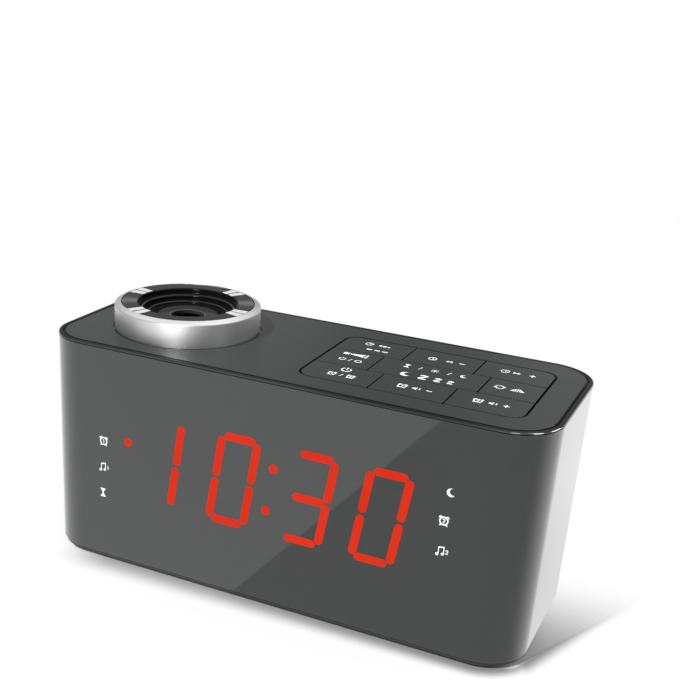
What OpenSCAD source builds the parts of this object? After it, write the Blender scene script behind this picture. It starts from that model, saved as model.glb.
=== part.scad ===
// Bedside clock radio with a time projector: a smoked front cover, a rear cabinet, a base and a framed top
// plate that carries nine flush keys and a turning focus ring. Front is -Y, up is +Z, feet stand on z = 0.

/* [Body] */
// Width of the body
body_w = 175; // [165:1:220]
// Depth of the body, front to back
body_d = 70; // [68:1:100]
// Height of the body, from the base to the top face
body_h = 79.3; // [74:0.1:110]
// Radius of the upright corners
corner_r = 15.5; // [12:0.5:19]
// Wall of the front cover and the rear cabinet
wall = 2.2; // [1.9:0.1:2.8]
// Distance of the side seam behind the front face
seam_setback = 18; // [15:0.5:24]
// Open line between the front cover and the rear cabinet
seam_gap = 0.2; // [0.1:0.05:0.4]

/* [Base] */
// Height of the base edge that shows below the shells
base_band = 1.4; // [1.2:0.1:2.4]
// Distance of the base edge inside the body's outline
base_inset = 0.8; // [0.3:0.1:1.2]
// Thickness of the base inside the shells
base_t = 3; // [2.6:0.1:4]
// Height of the rubber feet below the base
foot_h = 1.2; // [0.8:0.1:3]
// Diameter of a rubber foot
foot_dia = 10; // [7:0.5:14]

/* [Top] */
// Height of the gloss rim above the shells, and thickness of the top plate
rim_h = 1.2; // [1:0.1:2]
// Width of the gloss rim
rim_w = 1.5; // [1.2:0.1:2.5]
// Open groove between the rim and the top plate
groove_w = 0.5; // [0.4:0.1:1]
// Depth of that groove
groove_depth = 0.7; // [0.4:0.1:0.9]
// Thickness of the ledge that carries the top plate
ledge_t = 1.2; // [1:0.1:2]

/* [Keypad] */
// Place of the keypad's middle, from the middle of the body
keypad_x = 39.2; // [36:0.1:41]
// Width of the keypad opening
keypad_w = 74; // [62:0.5:76]
// Depth of the keypad opening
keypad_d = 48; // [40:0.5:48.5]
// Corner radius of the keypad opening
keypad_r = 5.5; // [3:0.5:7]
// Width of the middle key in the rear and front rows
middle_w = 24.4; // [20:0.2:28]
// Width of the wide key in the middle row
snooze_w = 36.6; // [30:0.2:44]
// Open line round the keypad
keypad_groove = 0.7; // [0.4:0.1:1]
// Open line between two keys
key_gap = 0.45; // [0.35:0.05:0.8]
// Thickness of a key cap
cap_t = 2.2; // [2:0.1:3]
// Travel of a key
key_travel = 0.7; // [0.4:0.1:0.9]
// Diameter of a key's stem
stem_dia = 6; // [4:0.5:7]

/* [Projector] */
// Place of the projector's axis, from the middle of the body
ring_x = -50; // [-54:0.5:-44]
// Outer radius of the focus ring
ring_r = 25.5; // [24:0.1:28]
// Height of the focus ring above the top plate
ring_h = 9; // [8.5:0.1:14]
// Width of the bright bevel on the focus ring
bevel_w = 2; // [1:0.1:2.1]
// Height of that bevel
bevel_h = 0.8; // [0.3:0.1:1.5]
// Radius of the bowl's mouth
mouth_r = 17.6; // [17:0.1:18.4]
// Depth of the bowl
bowl_depth = 4.4; // [4.2:0.1:5.4]
// Radius of the hole above the lens
aperture_r = 5.6; // [4:0.1:6]
// Radius of the lens
lens_r = 6.6; // [6.2:0.1:8]
// Focus travel of the lens each way from the middle
focus_travel = 1; // [0.5:0.1:1.2]

/* [Display] */
// Height of a figure between the middles of its top and bottom strokes
digit_h = 30.5; // [20:0.5:36]
// Width of a figure between the middles of its upright strokes
digit_w = 14.4; // [10:0.1:17]
// Thickness of a stroke
stroke = 2.6; // [1.5:0.1:3]
// Lean of the figures
slant = 7.8; // [0:0.1:12]
// Distance between the two figures of a pair
digit_pitch = 26.4; // [24:0.1:28]
// Height of the middle of the figures above the base
display_rise = 42.4; // [38:0.1:50]

/* [Speaker] */
// Place of the speaker's axis, from the middle of the body
speaker_x = 42; // [38:1:46]
// Height of the speaker's axis above the base
speaker_rise = 40; // [38:1:42]
// Outer radius of the speaker's rim
speaker_r = 26; // [20:0.5:26]

/* [Power] */
// Diameter of the coin cell
cell_dia = 20; // [16:1:24]
// Thickness of the coin cell
cell_t = 3.2; // [1.6:0.1:5]
// Bore of the power socket
socket_dia = 5.5; // [4.5:0.1:6.6]

/* [Fasteners] */
// Diameter of a screw's thread
screw_dia = 2.2; // [1.6:0.1:2.6]

/* [Hidden] */
$fn = 64;
eps = 0.5;
fit = 0.1;
run_gap = 0.3;
board_t = 1.6;
boss_dia = 7;
post_dia = 5;
head_dia = screw_dia * 2;
head_t = 1.2;
pilot_dia = screw_dia + 2 * fit;
pass_dia = screw_dia + 4 * fit;
screw_end = 1;
stop_lip = 1;

// Heights
base_z = foot_h;
shell_z = base_z + base_band;
floor_z = base_z + base_t;
top_z = base_z + body_h;
rim_z = top_z - rim_h;
ledge_z = rim_z - ledge_t;
upstand_h = 2;
upstand_z = floor_z + upstand_h;

// Plan lines, as distances inside the outline
lap = wall * 0.4;
ledge_in = 4.5;
plate_in = rim_w + groove_w;
upstand_in = wall + run_gap;
upstand_t = 1.4;
seam_y = seam_setback - body_d / 2;
tongue_t = 1;
tongue_l = 2.3;
tongue_end = 1;
corner_x = body_w / 2 - corner_r;
corner_y = body_d / 2 - corner_r;
boss_shift = (corner_r - wall - boss_dia / 2 + run_gap) / sqrt(2);
CASE_BOSSES = [
    for (sx = [-1, 1], sy = [-1, 1])
    [sx * (corner_x + boss_shift), sy * (corner_y + boss_shift)]
];
case_boss_h = 17;
case_boss_z = base_z + case_boss_h;
boss_end = 2;
screw_short = 6;
foot_x = corner_x - foot_dia / 2;
foot_out = 1;
foot_y = corner_y + foot_out;
foot_seat = 0.4;

// Snap hooks that hold the top frame to the shells
hook_w = 8;
hook_t = 1.2;
hook_l = 7;
barb_t = 0.7;
barb_h = 1.5;
hook_x = 22;
hook_y = body_d / 2 - corner_r - hook_w;

// Keypad
row_d = keypad_d / 3;
cap_z = top_z - cap_t;
cap_clear = 0.8;
guide_z = cap_z - key_travel - cap_clear;
guide_t = 1.2;
collar_z = guide_z - guide_t - run_gap;
collar_t = 1;
collar_out = 0.8;
collar_dia = stem_dia + 2 * collar_out;
dome_z = collar_z - collar_t - key_travel - run_gap;
mat_t = 0.8;
dome_h = 1.2;
mat_z = dome_z - dome_h - mat_t;
key_board_t = 1.2;
key_post_in = 7;
key_post_x = keypad_w / 2 - key_post_in;
key_post_y = keypad_d / 2 + post_dia / 2 + run_gap;
key_plate_w = keypad_w;
key_plate_d = 2 * key_post_y + post_dia;
KEY_POSTS = [for (sx = [-1, 1], sy = [-1, 1]) [keypad_x + sx * key_post_x, sy * key_post_y]];
function row_half(row) = row == 0 ? snooze_w / 2 : middle_w / 2;
function cell_edges(row) = [-keypad_w / 2, -row_half(row), row_half(row), keypad_w / 2];
function cell_middle(row, column) = (cell_edges(row)[column] + cell_edges(row)[column + 1]) / 2;
function stem_shifts(row, column) = row == 0 && column == 1 ? [-snooze_w / 4, snooze_w / 4] : [0];
STEMS = [
    for (row = [-1:1], column = [0:2], shift = stem_shifts(row, column))
    [keypad_x + cell_middle(row, column) + shift, row * row_d]
];

// Projector, with its parts listed from the top down
ring_gap = 0.5;
ring_hole_r = ring_r + ring_gap;
ring_wall = 2.2;
seat_step = 1;
flange_out = 1.5;
flange_r = ring_r + flange_out;
flange_t = 1.4;
flange_z = rim_z - run_gap;
bezel_z = top_z + ring_h - fit;
bezel_t = 1.6;
bezel_r = ring_r - ring_wall - fit;
bowl_wall = 1.4;
step_in = 2.1;
step_draft = 0.2;
step_one = bowl_depth * 0.42;
step_two = bowl_depth * 0.8;
bowl_floor_z = bezel_z - bowl_depth;
barrel_wall = 2.5;
barrel_r = lens_r + barrel_wall;
housing_r = barrel_r + run_gap;
housing_wall = 1.6;
sleeve_r = housing_r + housing_wall + run_gap;
sleeve_t = 1.8;
sleeve_z = flange_z - flange_t + fit;
pin_r = 1;
pin_rise = 0.5;
pin_z = top_z + pin_rise;
channel_half = focus_travel + pin_r + run_gap;
channel_t = 1.2;
seat_z = flange_z - flange_t - run_gap;
seat_t = 1.5;
seat_out = 1;
seat_r = flange_r + seat_out;
ear_r = 4;
ear_ring = flange_r + post_dia / 2 + ring_gap;
ear_angle = 35;
PROJECTOR_POSTS = [
    for (a = [ear_angle, 180 - ear_angle, 180 + ear_angle, -ear_angle])
    [ring_x + ear_ring * cos(a), ear_ring * sin(a)]
];
housing_l = 32;
housing_z = seat_z - housing_l;
housing_top = bowl_floor_z - bowl_wall - run_gap - fit;
barrel_top = housing_top - focus_travel - fit;
barrel_l = 12;
lens_seat = 2.4;
lens_dome = 1;
slide_w = 12;
slide_t = 1.2;
slide_drop = 18;
slide_z = top_z - slide_drop;
shelf_t = 1.2;
condenser_r = housing_r - fit;
condenser_t = 3.6;
condenser_drop = 9;
condenser_z = slide_z - condenser_drop;
lamp_w = 5;
lamp_t = 1.8;
lamp_dome = 1.8;
lamp_screw_out = 3;
lamp_screw_x = housing_r + housing_wall + lamp_screw_out;
stripe_deg = 7.6;
stripe_gap_deg = 2.2;
stripe_t = 0.1;
STRIPE_ANGLES = [-114, -6, 67, 174];

// Display
display_z = base_z + display_rise;
colon_extra = 0.6;
colon_pitch = digit_pitch + colon_extra;
DIGIT_X = [-colon_pitch / 2 - digit_pitch, -colon_pitch / 2, colon_pitch / 2, colon_pitch / 2 + digit_pitch];
SEGMENT_AT = [[0, 1], [1, 0.5], [1, -0.5], [0, -1], [-1, -0.5], [-1, 0.5], [0, 0]];
SEGMENT_UPRIGHT = [false, true, true, false, true, true, false];
DIGIT_LIT = [[1, 2], [0, 1, 2, 3, 4, 5], [0, 1, 2, 3, 6], [0, 1, 2, 3, 4, 5]];
flat_l = digit_w - stroke * 0.8;
upright_l = digit_h / 2 - stroke * 0.6;
dot_r = 1.6;
indicator_gap = 0.9;
figure_half = digit_w / 2 + digit_h / 2 * tan(slant) + stroke / 2;
indicator_x = DIGIT_X[3] + figure_half + dot_r + indicator_gap;
indicator_rise = 4.4;
indicator_pitch = 10;
// The left column hangs one step lower than the right one
function indicator_z(side, k) = indicator_rise + (k + (side - 1) / 2) * indicator_pitch;
INDICATORS = [for (sx = [-1, 1], k = [-1:1]) [sx * indicator_x, indicator_z(sx, k)]];
lit_indicator = 2;
block_side = 6;
block_edge = 4;
block_w = 2 * (indicator_x + block_side);
block_h = digit_h + stroke + 2 * block_edge;
block_t = 7;
block_gap = 0.5;
block_y = -body_d / 2 + wall + block_gap;
segment_t = 5.5;
board_y = block_y + block_t;
board_end = 5.5;
board_w = 2 * (corner_x + board_end);
board_boss_dia = 6;
board_boss_out = 1;
board_boss_z = block_h / 2 - block_edge;
BOARD_BOSSES = [
    for (sx = [-1, 1], sz = [-1, 1])
    [sx * (corner_x + board_boss_out), display_z + sz * board_boss_z]
];

// Main board and what sits on it
tray_x = -48;
tray_side = 1.5;
tray_w = cell_dia + 2 * tray_side;
holder_wall = 1.2;
holder_half = tray_w / 2 + run_gap + holder_wall;
main_post_in = 4;
main_post_gap = 0.8;
main_x = tray_x - holder_half - main_post_gap - head_dia / 2 - main_post_in;
main_right = 8;
main_w = main_right - main_x;
main_y = -16;
main_back = 6;
main_d = body_d / 2 - wall - main_back - main_y;
main_post_h = 6;
main_z = floor_z + main_post_h;
main_top = main_z + board_t;
MAIN_POSTS = [
    for (px = [main_x + main_post_in, main_x + main_w - main_post_in])
    for (py = [main_y + main_post_in, main_y + main_d - main_post_in])
    [px, py]
];
back_y = body_d / 2 - wall;
socket_x = -12;
socket_rise = 6;
socket_z = main_top + socket_rise;
socket_w = 10;
socket_l = 12.5;
nose_wall = 1.5;
nose_dia = socket_dia + 2 * nose_wall;
socket_recess = 1;
socket_pin_dia = 2;
gland_x = -28;
gland_dia = 6;
gland_bore = 2.4;
gland_lip = 1.4;
gland_lip_t = 0.8;
tray_spare = 0.4;
tray_floor = 1;
tray_t = cell_t + tray_floor + tray_spare;
tray_ends = 4;
tray_l = cell_dia + tray_ends;
tray_rise = 2;
tray_z = main_top + tray_rise;
notch_d = 1;
holder_l = tray_l - wall;

can_r = 4;
can_in = 16;
can_h = 11;
// Chips on the main board: the corner nearest the board's own corner, then the size
CHIPS = [[[16, 4], [14, 10, 1.6]], [[40, 3], [7, 5, 1.6]], [[52, 10], [16, 12, 6.4]]];

// Speaker, which faces the back
speaker_z = base_z + speaker_rise;
speaker_lip = 3.6;
gasket_t = 1.5;
rim_t = 1.2;
basket_l = 10;
basket_r = 13;
basket_wall = 1;
magnet_r = 14;
magnet_l = 7;
cone_t = 0.6;
cone_r = 7;
cone_clear = 3;
ear_edge = 1;
ear_out = speaker_r + post_dia / 2 + fit;
SPEAKER_EARS = [for (a = [45:90:315]) [speaker_x + ear_out * cos(a), speaker_z + ear_out * sin(a)]];
slot_h = 2;
slot_pitch = 4.4;
slot_span = floor((speaker_r - speaker_lip) / slot_pitch);

// Flat cables
ribbon_t = 0.6;
ribbon_w = 14;
ribbon_x = main_x + main_w - ribbon_w;
plug_t = 3;
plug_in = 1;

// Piece colours
smoke = [0.16, 0.16, 0.165];
satin_grey = [0.28, 0.28, 0.28];
gloss_black = [0.05, 0.05, 0.055];
silver = [0.75, 0.76, 0.77];
board_green = [0.1, 0.35, 0.2];

// A flat rectangle with round corners
module rounded(w, d, r) {
    square([w - 2 * r, d], center = true);
    square([w, d - 2 * r], center = true);
    for (sx = [-1, 1], sy = [-1, 1])
        translate([sx * (w / 2 - r), sy * (d / 2 - r)])
            circle(r);
}

// The body's outline, moved inwards
module outline(inset) rounded(body_w - 2 * inset, body_d - 2 * inset, corner_r - inset);

// A closed strip that follows the body's outline
module band(outer, inner) {
    difference() {
        outline(outer);
        outline(inner);
    }
}

// A flat shape raised from one height to another
module raise(z0, z1) {
    translate([0, 0, z0])
        linear_extrude(z1 - z0)
            children();
}

// A shape drawn as seen from the front, given depth from y0 back to y1
module deepen(y0, y1) {
    translate([0, y1, 0])
        rotate([90, 0, 0])
            linear_extrude(y1 - y0)
                children();
}

// A strip across the whole width, from y0 back to y1
module strip(y0, y1) {
    translate([-body_w, y0])
        square([2 * body_w, y1 - y0]);
}

// Screws that stand upright at the given points, head down at z0
module upright_screws(points, z0, length) {
    for (p = points)
        translate([p.x, p.y, z0]) {
            cylinder(d = head_dia, h = head_t);
            cylinder(d = screw_dia, h = head_t + length);
        }
}

// Screws that lie along y at the given points, with their heads from y0 back
module lying_screws(points, y0, length, turn) {
    for (p = points)
        translate([p.x, y0, p.y])
            rotate([turn, 0, 0]) {
                cylinder(d = head_dia, h = head_t);
                translate([0, 0, -length])
                    cylinder(d = screw_dia, h = length + eps);
            }
}

// Pockets in the shells for the barbs of the top frame, or the barbs themselves when grown by zero
module barbs(grow) {
    z0 = ledge_z - hook_l - grow;
    reach = barb_t + run_gap + grow;
    for (sx = [-1, 1], sy = [-1, 1])
        translate([sx * hook_x, sy * (body_d / 2 - wall - run_gap - fit), z0])
            translate([-hook_w / 2 - grow, sy > 0 ? -fit : -reach, 0])
                cube([hook_w + 2 * grow, reach + fit, barb_h + 2 * grow]);
    for (sx = [-1, 1])
        translate([sx * (body_w / 2 - wall - run_gap - fit), hook_y, z0])
            translate([sx > 0 ? -fit : -reach, -hook_w / 2 - grow, 0])
                cube([reach + fit, hook_w + 2 * grow, barb_h + 2 * grow]);
}

// Wall of either shell between two y lines, with the rebate that takes the top frame
module shell_wall(y0, y1) {
    difference() {
        raise(shell_z, rim_z)
            intersection() {
                band(0, wall);
                strip(y0, y1);
            }
        raise(ledge_z - fit, rim_z + eps)
            band(lap, wall + eps);
        barbs(fit);
    }
}

// Upright bosses for the case screws on one half of the body
module case_bosses(side) {
    for (p = CASE_BOSSES)
        if (sign(p.y) == side)
            translate([p.x, p.y, floor_z + fit])
                difference() {
                    cylinder(d = boss_dia, h = case_boss_z - floor_z);
                    translate([0, 0, -eps])
                        cylinder(d = pilot_dia, h = case_boss_z - floor_z - boss_end);
                }
}

module front_cover() {
    color(smoke) {
        shell_wall(-body_d, seam_y);
        case_bosses(-1);
        for (p = BOARD_BOSSES)
            difference() {
                deepen(-body_d / 2 + wall * 0.7, board_y)
                    translate([p.x, p.y])
                        circle(d = board_boss_dia);
                deepen(block_y, board_y + eps)
                    translate([p.x, p.y])
                        circle(d = pilot_dia);
            }
    }
}

module rear_cabinet() {
    color(smoke) {
        difference() {
            shell_wall(seam_y + seam_gap, body_d);
            deepen(back_y - eps, body_d) {
                for (k = [-slot_span:slot_span])
                    translate([speaker_x, speaker_z + k * slot_pitch])
                        grille_slot(sqrt(pow(speaker_r - speaker_lip, 2) - pow(k * slot_pitch, 2)));
                translate([socket_x, socket_z])
                    circle(d = nose_dia + 2 * fit);
                translate([gland_x, socket_z])
                    circle(d = gland_dia + 2 * fit);
                translate([tray_x, tray_z + tray_t / 2])
                    square([tray_w + 2 * run_gap, tray_t + 2 * run_gap], center = true);
            }
            deepen(body_d / 2 - gland_lip_t - fit, body_d)
                translate([gland_x, socket_z])
                    circle(d = gland_dia + 2 * gland_lip + 2 * fit);
            deepen(back_y - eps, back_y + wall - screw_end)
                for (p = SPEAKER_EARS)
                    translate(p)
                        circle(d = pilot_dia);
        }
        case_bosses(1);
        deepen(back_y - gasket_t, back_y + fit)
            for (p = SPEAKER_EARS)
                translate(p)
                    difference() {
                        circle(d = post_dia);
                        circle(d = pilot_dia);
                    }
        raise(upstand_z + tongue_end, ledge_z - tongue_end)
            intersection() {
                band(wall + fit, wall + fit + tongue_t);
                strip(seam_y - tongue_l, seam_y + 2 * tongue_l);
            }
        raise(upstand_z + tongue_end, ledge_z - tongue_end)
            intersection() {
                band(wall - fit, wall + fit + tongue_t);
                strip(seam_y + tongue_l, seam_y + 2 * tongue_l);
            }
    }
}

// One slot of the speaker grille, with round ends
module grille_slot(half) {
    square([2 * half - slot_h, slot_h], center = true);
    for (sx = [-1, 1])
        translate([sx * (half - slot_h / 2), 0])
            circle(d = slot_h);
}

module base_plate() {
    color(gloss_black)
        difference() {
            union() {
                raise(base_z, shell_z)
                    outline(base_inset);
                raise(shell_z, floor_z)
                    outline(upstand_in);
                raise(floor_z, upstand_z)
                    band(upstand_in, upstand_in + upstand_t);
                for (p = MAIN_POSTS)
                    translate([p.x, p.y, floor_z - fit])
                        cylinder(d = post_dia, h = main_z - floor_z + fit);
            }
            for (p = MAIN_POSTS)
                translate([p.x, p.y, floor_z])
                    cylinder(d = pilot_dia, h = main_z);
            for (p = CASE_BOSSES)
                translate([p.x, p.y, 0]) {
                    cylinder(d = pass_dia, h = upstand_z);
                    cylinder(d = head_dia + 2 * run_gap, h = base_z + head_t);
                    translate([0, 0, floor_z])
                        cylinder(d = boss_dia + 2 * run_gap, h = upstand_z);
                }
            for (sx = [-1, 1], sy = [-1, 1])
                translate([sx * foot_x, sy * foot_y, 0])
                    cylinder(d = foot_dia + 2 * fit, h = base_z + foot_seat);
        }
}

module top_frame() {
    color(gloss_black) {
        raise(ledge_z, rim_z)
            band(lap + fit, ledge_in);
        raise(rim_z, top_z - groove_depth)
            band(0, plate_in - fit);
        raise(top_z - groove_depth, top_z)
            band(0, rim_w);
        barbs(0);
        for (sx = [-1, 1], sy = [-1, 1])
            translate([sx * hook_x, sy * (body_d / 2 - wall - run_gap - hook_t / 2), ledge_z - hook_l / 2])
                cube([hook_w, hook_t, hook_l + fit], center = true);
        for (sx = [-1, 1])
            translate([sx * (body_w / 2 - wall - run_gap - hook_t / 2), hook_y, ledge_z - hook_l / 2])
                cube([hook_t, hook_w, hook_l + fit], center = true);
    }
}

module top_plate() {
    color(satin_grey) {
        raise(rim_z, top_z)
            difference() {
                outline(plate_in);
                translate([keypad_x, 0])
                    rounded(keypad_w, keypad_d, keypad_r);
                translate([ring_x, 0])
                    circle(ring_hole_r);
            }
        raise(guide_z, rim_z)
            for (p = KEY_POSTS)
                translate(p)
                    difference() {
                        circle(d = post_dia);
                        circle(d = pilot_dia);
                    }
        raise(seat_z, rim_z)
            for (p = PROJECTOR_POSTS)
                translate(p)
                    difference() {
                        circle(d = post_dia);
                        circle(d = pilot_dia);
                    }
    }
}

module rubber_feet() {
    color([0.1, 0.1, 0.1])
        for (sx = [-1, 1], sy = [-1, 1])
            translate([sx * foot_x, sy * foot_y, 0])
                cylinder(d = foot_dia, h = foot_h + foot_seat);
}

module case_screws() {
    color(silver)
        upright_screws(CASE_BOSSES, base_z, case_boss_z - base_z - screw_short);
}

// One flush key: cap, stem and the collar that keeps it in the guide; row 1 is the rear, column 0 the left
module key(row, column) {
    left = cell_edges(row)[column] + key_gap / 2;
    right = cell_edges(row)[column + 1] - key_gap / 2;
    pad_w = keypad_w - 2 * keypad_groove;
    pad_d = keypad_d - 2 * keypad_groove;
    color(satin_grey)
        translate([keypad_x, 0, 0]) {
            raise(cap_z, top_z)
                intersection() {
                    rounded(pad_w, pad_d, keypad_r - keypad_groove);
                    translate([left, (row - 0.5) * row_d + key_gap / 2])
                        square([right - left, row_d - key_gap]);
                }
            for (shift = stem_shifts(row, column))
                translate([cell_middle(row, column) + shift, row * row_d, 0]) {
                    translate([0, 0, collar_z - collar_t])
                        cylinder(d = stem_dia, h = cap_z - collar_z + collar_t + fit);
                    translate([0, 0, collar_z - collar_t])
                        cylinder(d = collar_dia, h = collar_t);
                }
        }
}

module set_key() key(1, 0);

module hour_key() key(1, 1);

module minute_key() key(1, 2);

module projection_key() key(0, 0);

module snooze_key() key(0, 1);

module flip_key() key(0, 2);

module power_key() key(-1, 0);

module alarm_one_key() key(-1, 1);

module alarm_two_key() key(-1, 2);

// Plate with a bore for each stem, and a spacer down to the key board at each corner
module key_guide() {
    color(gloss_black)
        difference() {
            union() {
                raise(guide_z - guide_t, guide_z)
                    translate([keypad_x, 0])
                        rounded(key_plate_w, key_plate_d, post_dia / 2);
                for (p = KEY_POSTS)
                    translate([p.x, p.y, mat_z])
                        cylinder(d = post_dia, h = guide_z - mat_z - fit);
            }
            for (p = STEMS)
                translate([p.x, p.y, mat_z])
                    cylinder(d = stem_dia + 2 * run_gap, h = cap_z - mat_z);
            for (p = KEY_POSTS)
                translate([p.x, p.y, mat_z - eps])
                    cylinder(d = pass_dia, h = cap_z - mat_z);
        }
}

module key_mat() {
    color([0.75, 0.75, 0.72]) {
        raise(mat_z, mat_z + mat_t)
            translate([keypad_x, 0])
                square([keypad_w, keypad_d], center = true);
        for (p = STEMS)
            translate([p.x, p.y, mat_z])
                cylinder(d = stem_dia, h = dome_z - mat_z);
    }
}

module key_board() {
    color(board_green)
        difference() {
            raise(mat_z - key_board_t, mat_z)
                translate([keypad_x, 0])
                    rounded(key_plate_w, key_plate_d, post_dia / 2);
            for (p = KEY_POSTS)
                translate([p.x, p.y, 0])
                    cylinder(d = pass_dia, h = top_z);
        }
}

module key_screws() {
    head_z = mat_z - key_board_t - head_t;
    color(silver)
        upright_screws(KEY_POSTS, head_z, rim_z - head_z - head_t - fit);
}

// Silver ring with its bevel, the step that seats the bezel and the flange that keeps it under the top plate
module focus_ring() {
    inner = ring_r - ring_wall;
    color(silver)
        translate([ring_x, 0, 0])
            rotate_extrude()
                polygon([
                    [inner - seat_step, flange_z - flange_t],
                    [flange_r, flange_z - flange_t],
                    [flange_r, flange_z],
                    [ring_r, flange_z],
                    [ring_r, top_z + ring_h - bevel_h],
                    [ring_r - bevel_w, top_z + ring_h],
                    [inner, top_z + ring_h],
                    [inner, bezel_z - bezel_t],
                    [inner - seat_step, bezel_z - bezel_t]
                ]);
}

// Black top of the ring: flat border, three steps down to the floor, and the sleeve that drives the lens
module ring_bezel() {
    outer_one = mouth_r + bowl_wall;
    outer_two = outer_one - step_in;
    sleeve_out = sleeve_r + sleeve_t;
    under_floor = bowl_floor_z - bowl_wall;
    color(gloss_black)
        translate([ring_x, 0, 0])
            rotate_extrude()
                polygon([
                    [bezel_r, bezel_z],
                    [mouth_r, bezel_z],
                    [mouth_r - step_draft, bezel_z - step_one],
                    [mouth_r - step_in, bezel_z - step_one],
                    [mouth_r - step_in - step_draft, bezel_z - step_two],
                    [mouth_r - 2 * step_in, bezel_z - step_two],
                    [mouth_r - 2 * step_in, bowl_floor_z],
                    [aperture_r, bowl_floor_z],
                    [aperture_r, under_floor],
                    [sleeve_r, under_floor],
                    [sleeve_r, pin_z + channel_half],
                    [sleeve_r + channel_t, pin_z + channel_half],
                    [sleeve_r + channel_t, pin_z - channel_half],
                    [sleeve_r, pin_z - channel_half],
                    [sleeve_r, sleeve_z],
                    [sleeve_out, sleeve_z],
                    [sleeve_out, under_floor],
                    [outer_two, under_floor],
                    [outer_two, bezel_z - step_one - bowl_wall],
                    [outer_one, bezel_z - step_one - bowl_wall],
                    [outer_one, bezel_z - bezel_t],
                    [bezel_r, bezel_z - bezel_t]
                ]);
}

// Four pairs of bright strips let onto the bezel
module ring_stripes() {
    color("white")
        translate([ring_x, 0, bezel_z])
            for (a = STRIPE_ANGLES, side = [-1, 1])
                rotate([0, 0, a + side * (stripe_deg + stripe_gap_deg) / 2 - stripe_deg / 2])
                    rotate_extrude(angle = stripe_deg)
                        translate([mouth_r + fit, 0])
                            square([bezel_r - mouth_r - 2 * fit, stripe_t]);
}

// Tube that carries the lens, with two pins that reach the ring's sleeve
module lens_barrel() {
    color(gloss_black)
        translate([ring_x, 0, 0])
            difference() {
                union() {
                    translate([0, 0, barrel_top - barrel_l])
                        cylinder(r = barrel_r, h = barrel_l);
                    for (turn = [0, 180])
                        translate([0, 0, pin_z])
                            rotate([0, 90, turn])
                                translate([0, 0, barrel_r - fit])
                                    cylinder(r = pin_r, h = sleeve_r + channel_t - run_gap - barrel_r);
                }
                translate([0, 0, barrel_top - lens_seat])
                    cylinder(r = lens_r + fit, h = lens_seat + eps);
                translate([0, 0, barrel_top - barrel_l - eps])
                    cylinder(r = lens_r - stop_lip, h = barrel_l + 2 * eps);
            }
}

// A lens with a flat underside at z0 and a shallow dome on top
module dome_lens(r, z0, edge, rise) {
    ball = (r * r + rise * rise) / (2 * rise);
    translate([ring_x, 0, z0])
        intersection() {
            cylinder(r = r, h = edge + rise + eps);
            translate([0, 0, edge + rise - ball])
                sphere(ball);
        }
}

module projector_lens() {
    color([0.6, 0.65, 0.7])
        dome_lens(lens_r, barrel_top - lens_seat, lens_seat - lens_dome - fit, lens_dome);
}

// Fixed tube under the ring, with the seat the ring turns on, two guide slots and the shelves inside
module projector_housing() {
    slot_w = 2 * (pin_r + run_gap);
    color(gloss_black)
        difference() {
            union() {
                translate([ring_x, 0, seat_z - seat_t])
                    cylinder(r = seat_r, h = seat_t);
                raise(seat_z - seat_t, seat_z)
                    for (p = PROJECTOR_POSTS)
                        translate(p)
                            circle(ear_r);
                translate([ring_x, 0, housing_z])
                    cylinder(r = housing_r + housing_wall, h = housing_top - housing_z);
                raise(housing_z, housing_z + 2 * shelf_t)
                    for (sx = [-1, 1])
                        translate([ring_x + sx * lamp_screw_x, 0])
                            circle(ear_r);
            }
            translate([ring_x, 0, slide_z])
                cylinder(r = housing_r, h = body_h);
            translate([ring_x, 0, condenser_z])
                cylinder(r = housing_r, h = slide_z - shelf_t - condenser_z);
            translate([ring_x, 0, housing_z - eps])
                cylinder(r = slide_w / 2 - stop_lip, h = body_h);
            translate([ring_x, 0, housing_z - eps])
                cylinder(r = housing_r, h = condenser_z - shelf_t - housing_z + eps);
            translate([ring_x - sleeve_r - channel_t, -slot_w / 2, pin_z - channel_half])
                cube([2 * (sleeve_r + channel_t), slot_w, body_h]);
            for (p = PROJECTOR_POSTS)
                translate([p.x, p.y, seat_z - seat_t - eps])
                    cylinder(d = pass_dia, h = seat_t + 2 * eps);
            for (sx = [-1, 1])
                translate([ring_x + sx * lamp_screw_x, 0, housing_z - eps])
                    cylinder(d = pilot_dia, h = 2 * shelf_t + 2 * eps);
        }
}

module projector_screws() {
    head_z = seat_z - seat_t - head_t;
    color(silver)
        upright_screws(PROJECTOR_POSTS, head_z, rim_z - head_z - head_t - fit);
}

// Small glass display that the lamp shines through
module time_slide() {
    color([0.2, 0.22, 0.25])
        translate([ring_x, 0, slide_z + slide_t / 2])
            cube([slide_w, slide_w, slide_t], center = true);
}

module condenser_lens() {
    color([0.6, 0.65, 0.7])
        dome_lens(condenser_r, condenser_z, condenser_t - 2 * lens_dome, 2 * lens_dome);
}

module lamp_board() {
    color(board_green)
        difference() {
            raise(housing_z - board_t, housing_z)
                translate([ring_x, 0])
                    rounded(2 * (lamp_screw_x + ear_r), 2 * (housing_r + housing_wall), ear_r);
            for (sx = [-1, 1])
                translate([ring_x + sx * lamp_screw_x, 0, 0])
                    cylinder(d = pass_dia, h = top_z);
        }
}

module projector_lamp() {
    color([0.8, 0.15, 0.1])
        translate([ring_x, 0, housing_z]) {
            translate([-lamp_w / 2, -lamp_w / 2, 0])
                cube([lamp_w, lamp_w, lamp_t]);
            translate([0, 0, lamp_t - fit])
                intersection() {
                    sphere(lamp_dome);
                    cylinder(r = lamp_dome, h = lamp_dome);
                }
        }
}

module lamp_screws() {
    points = [for (sx = [-1, 1]) [ring_x + sx * lamp_screw_x, 0]];
    color(silver)
        upright_screws(points, housing_z - board_t - head_t, board_t + 2 * shelf_t - fit);
}

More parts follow.
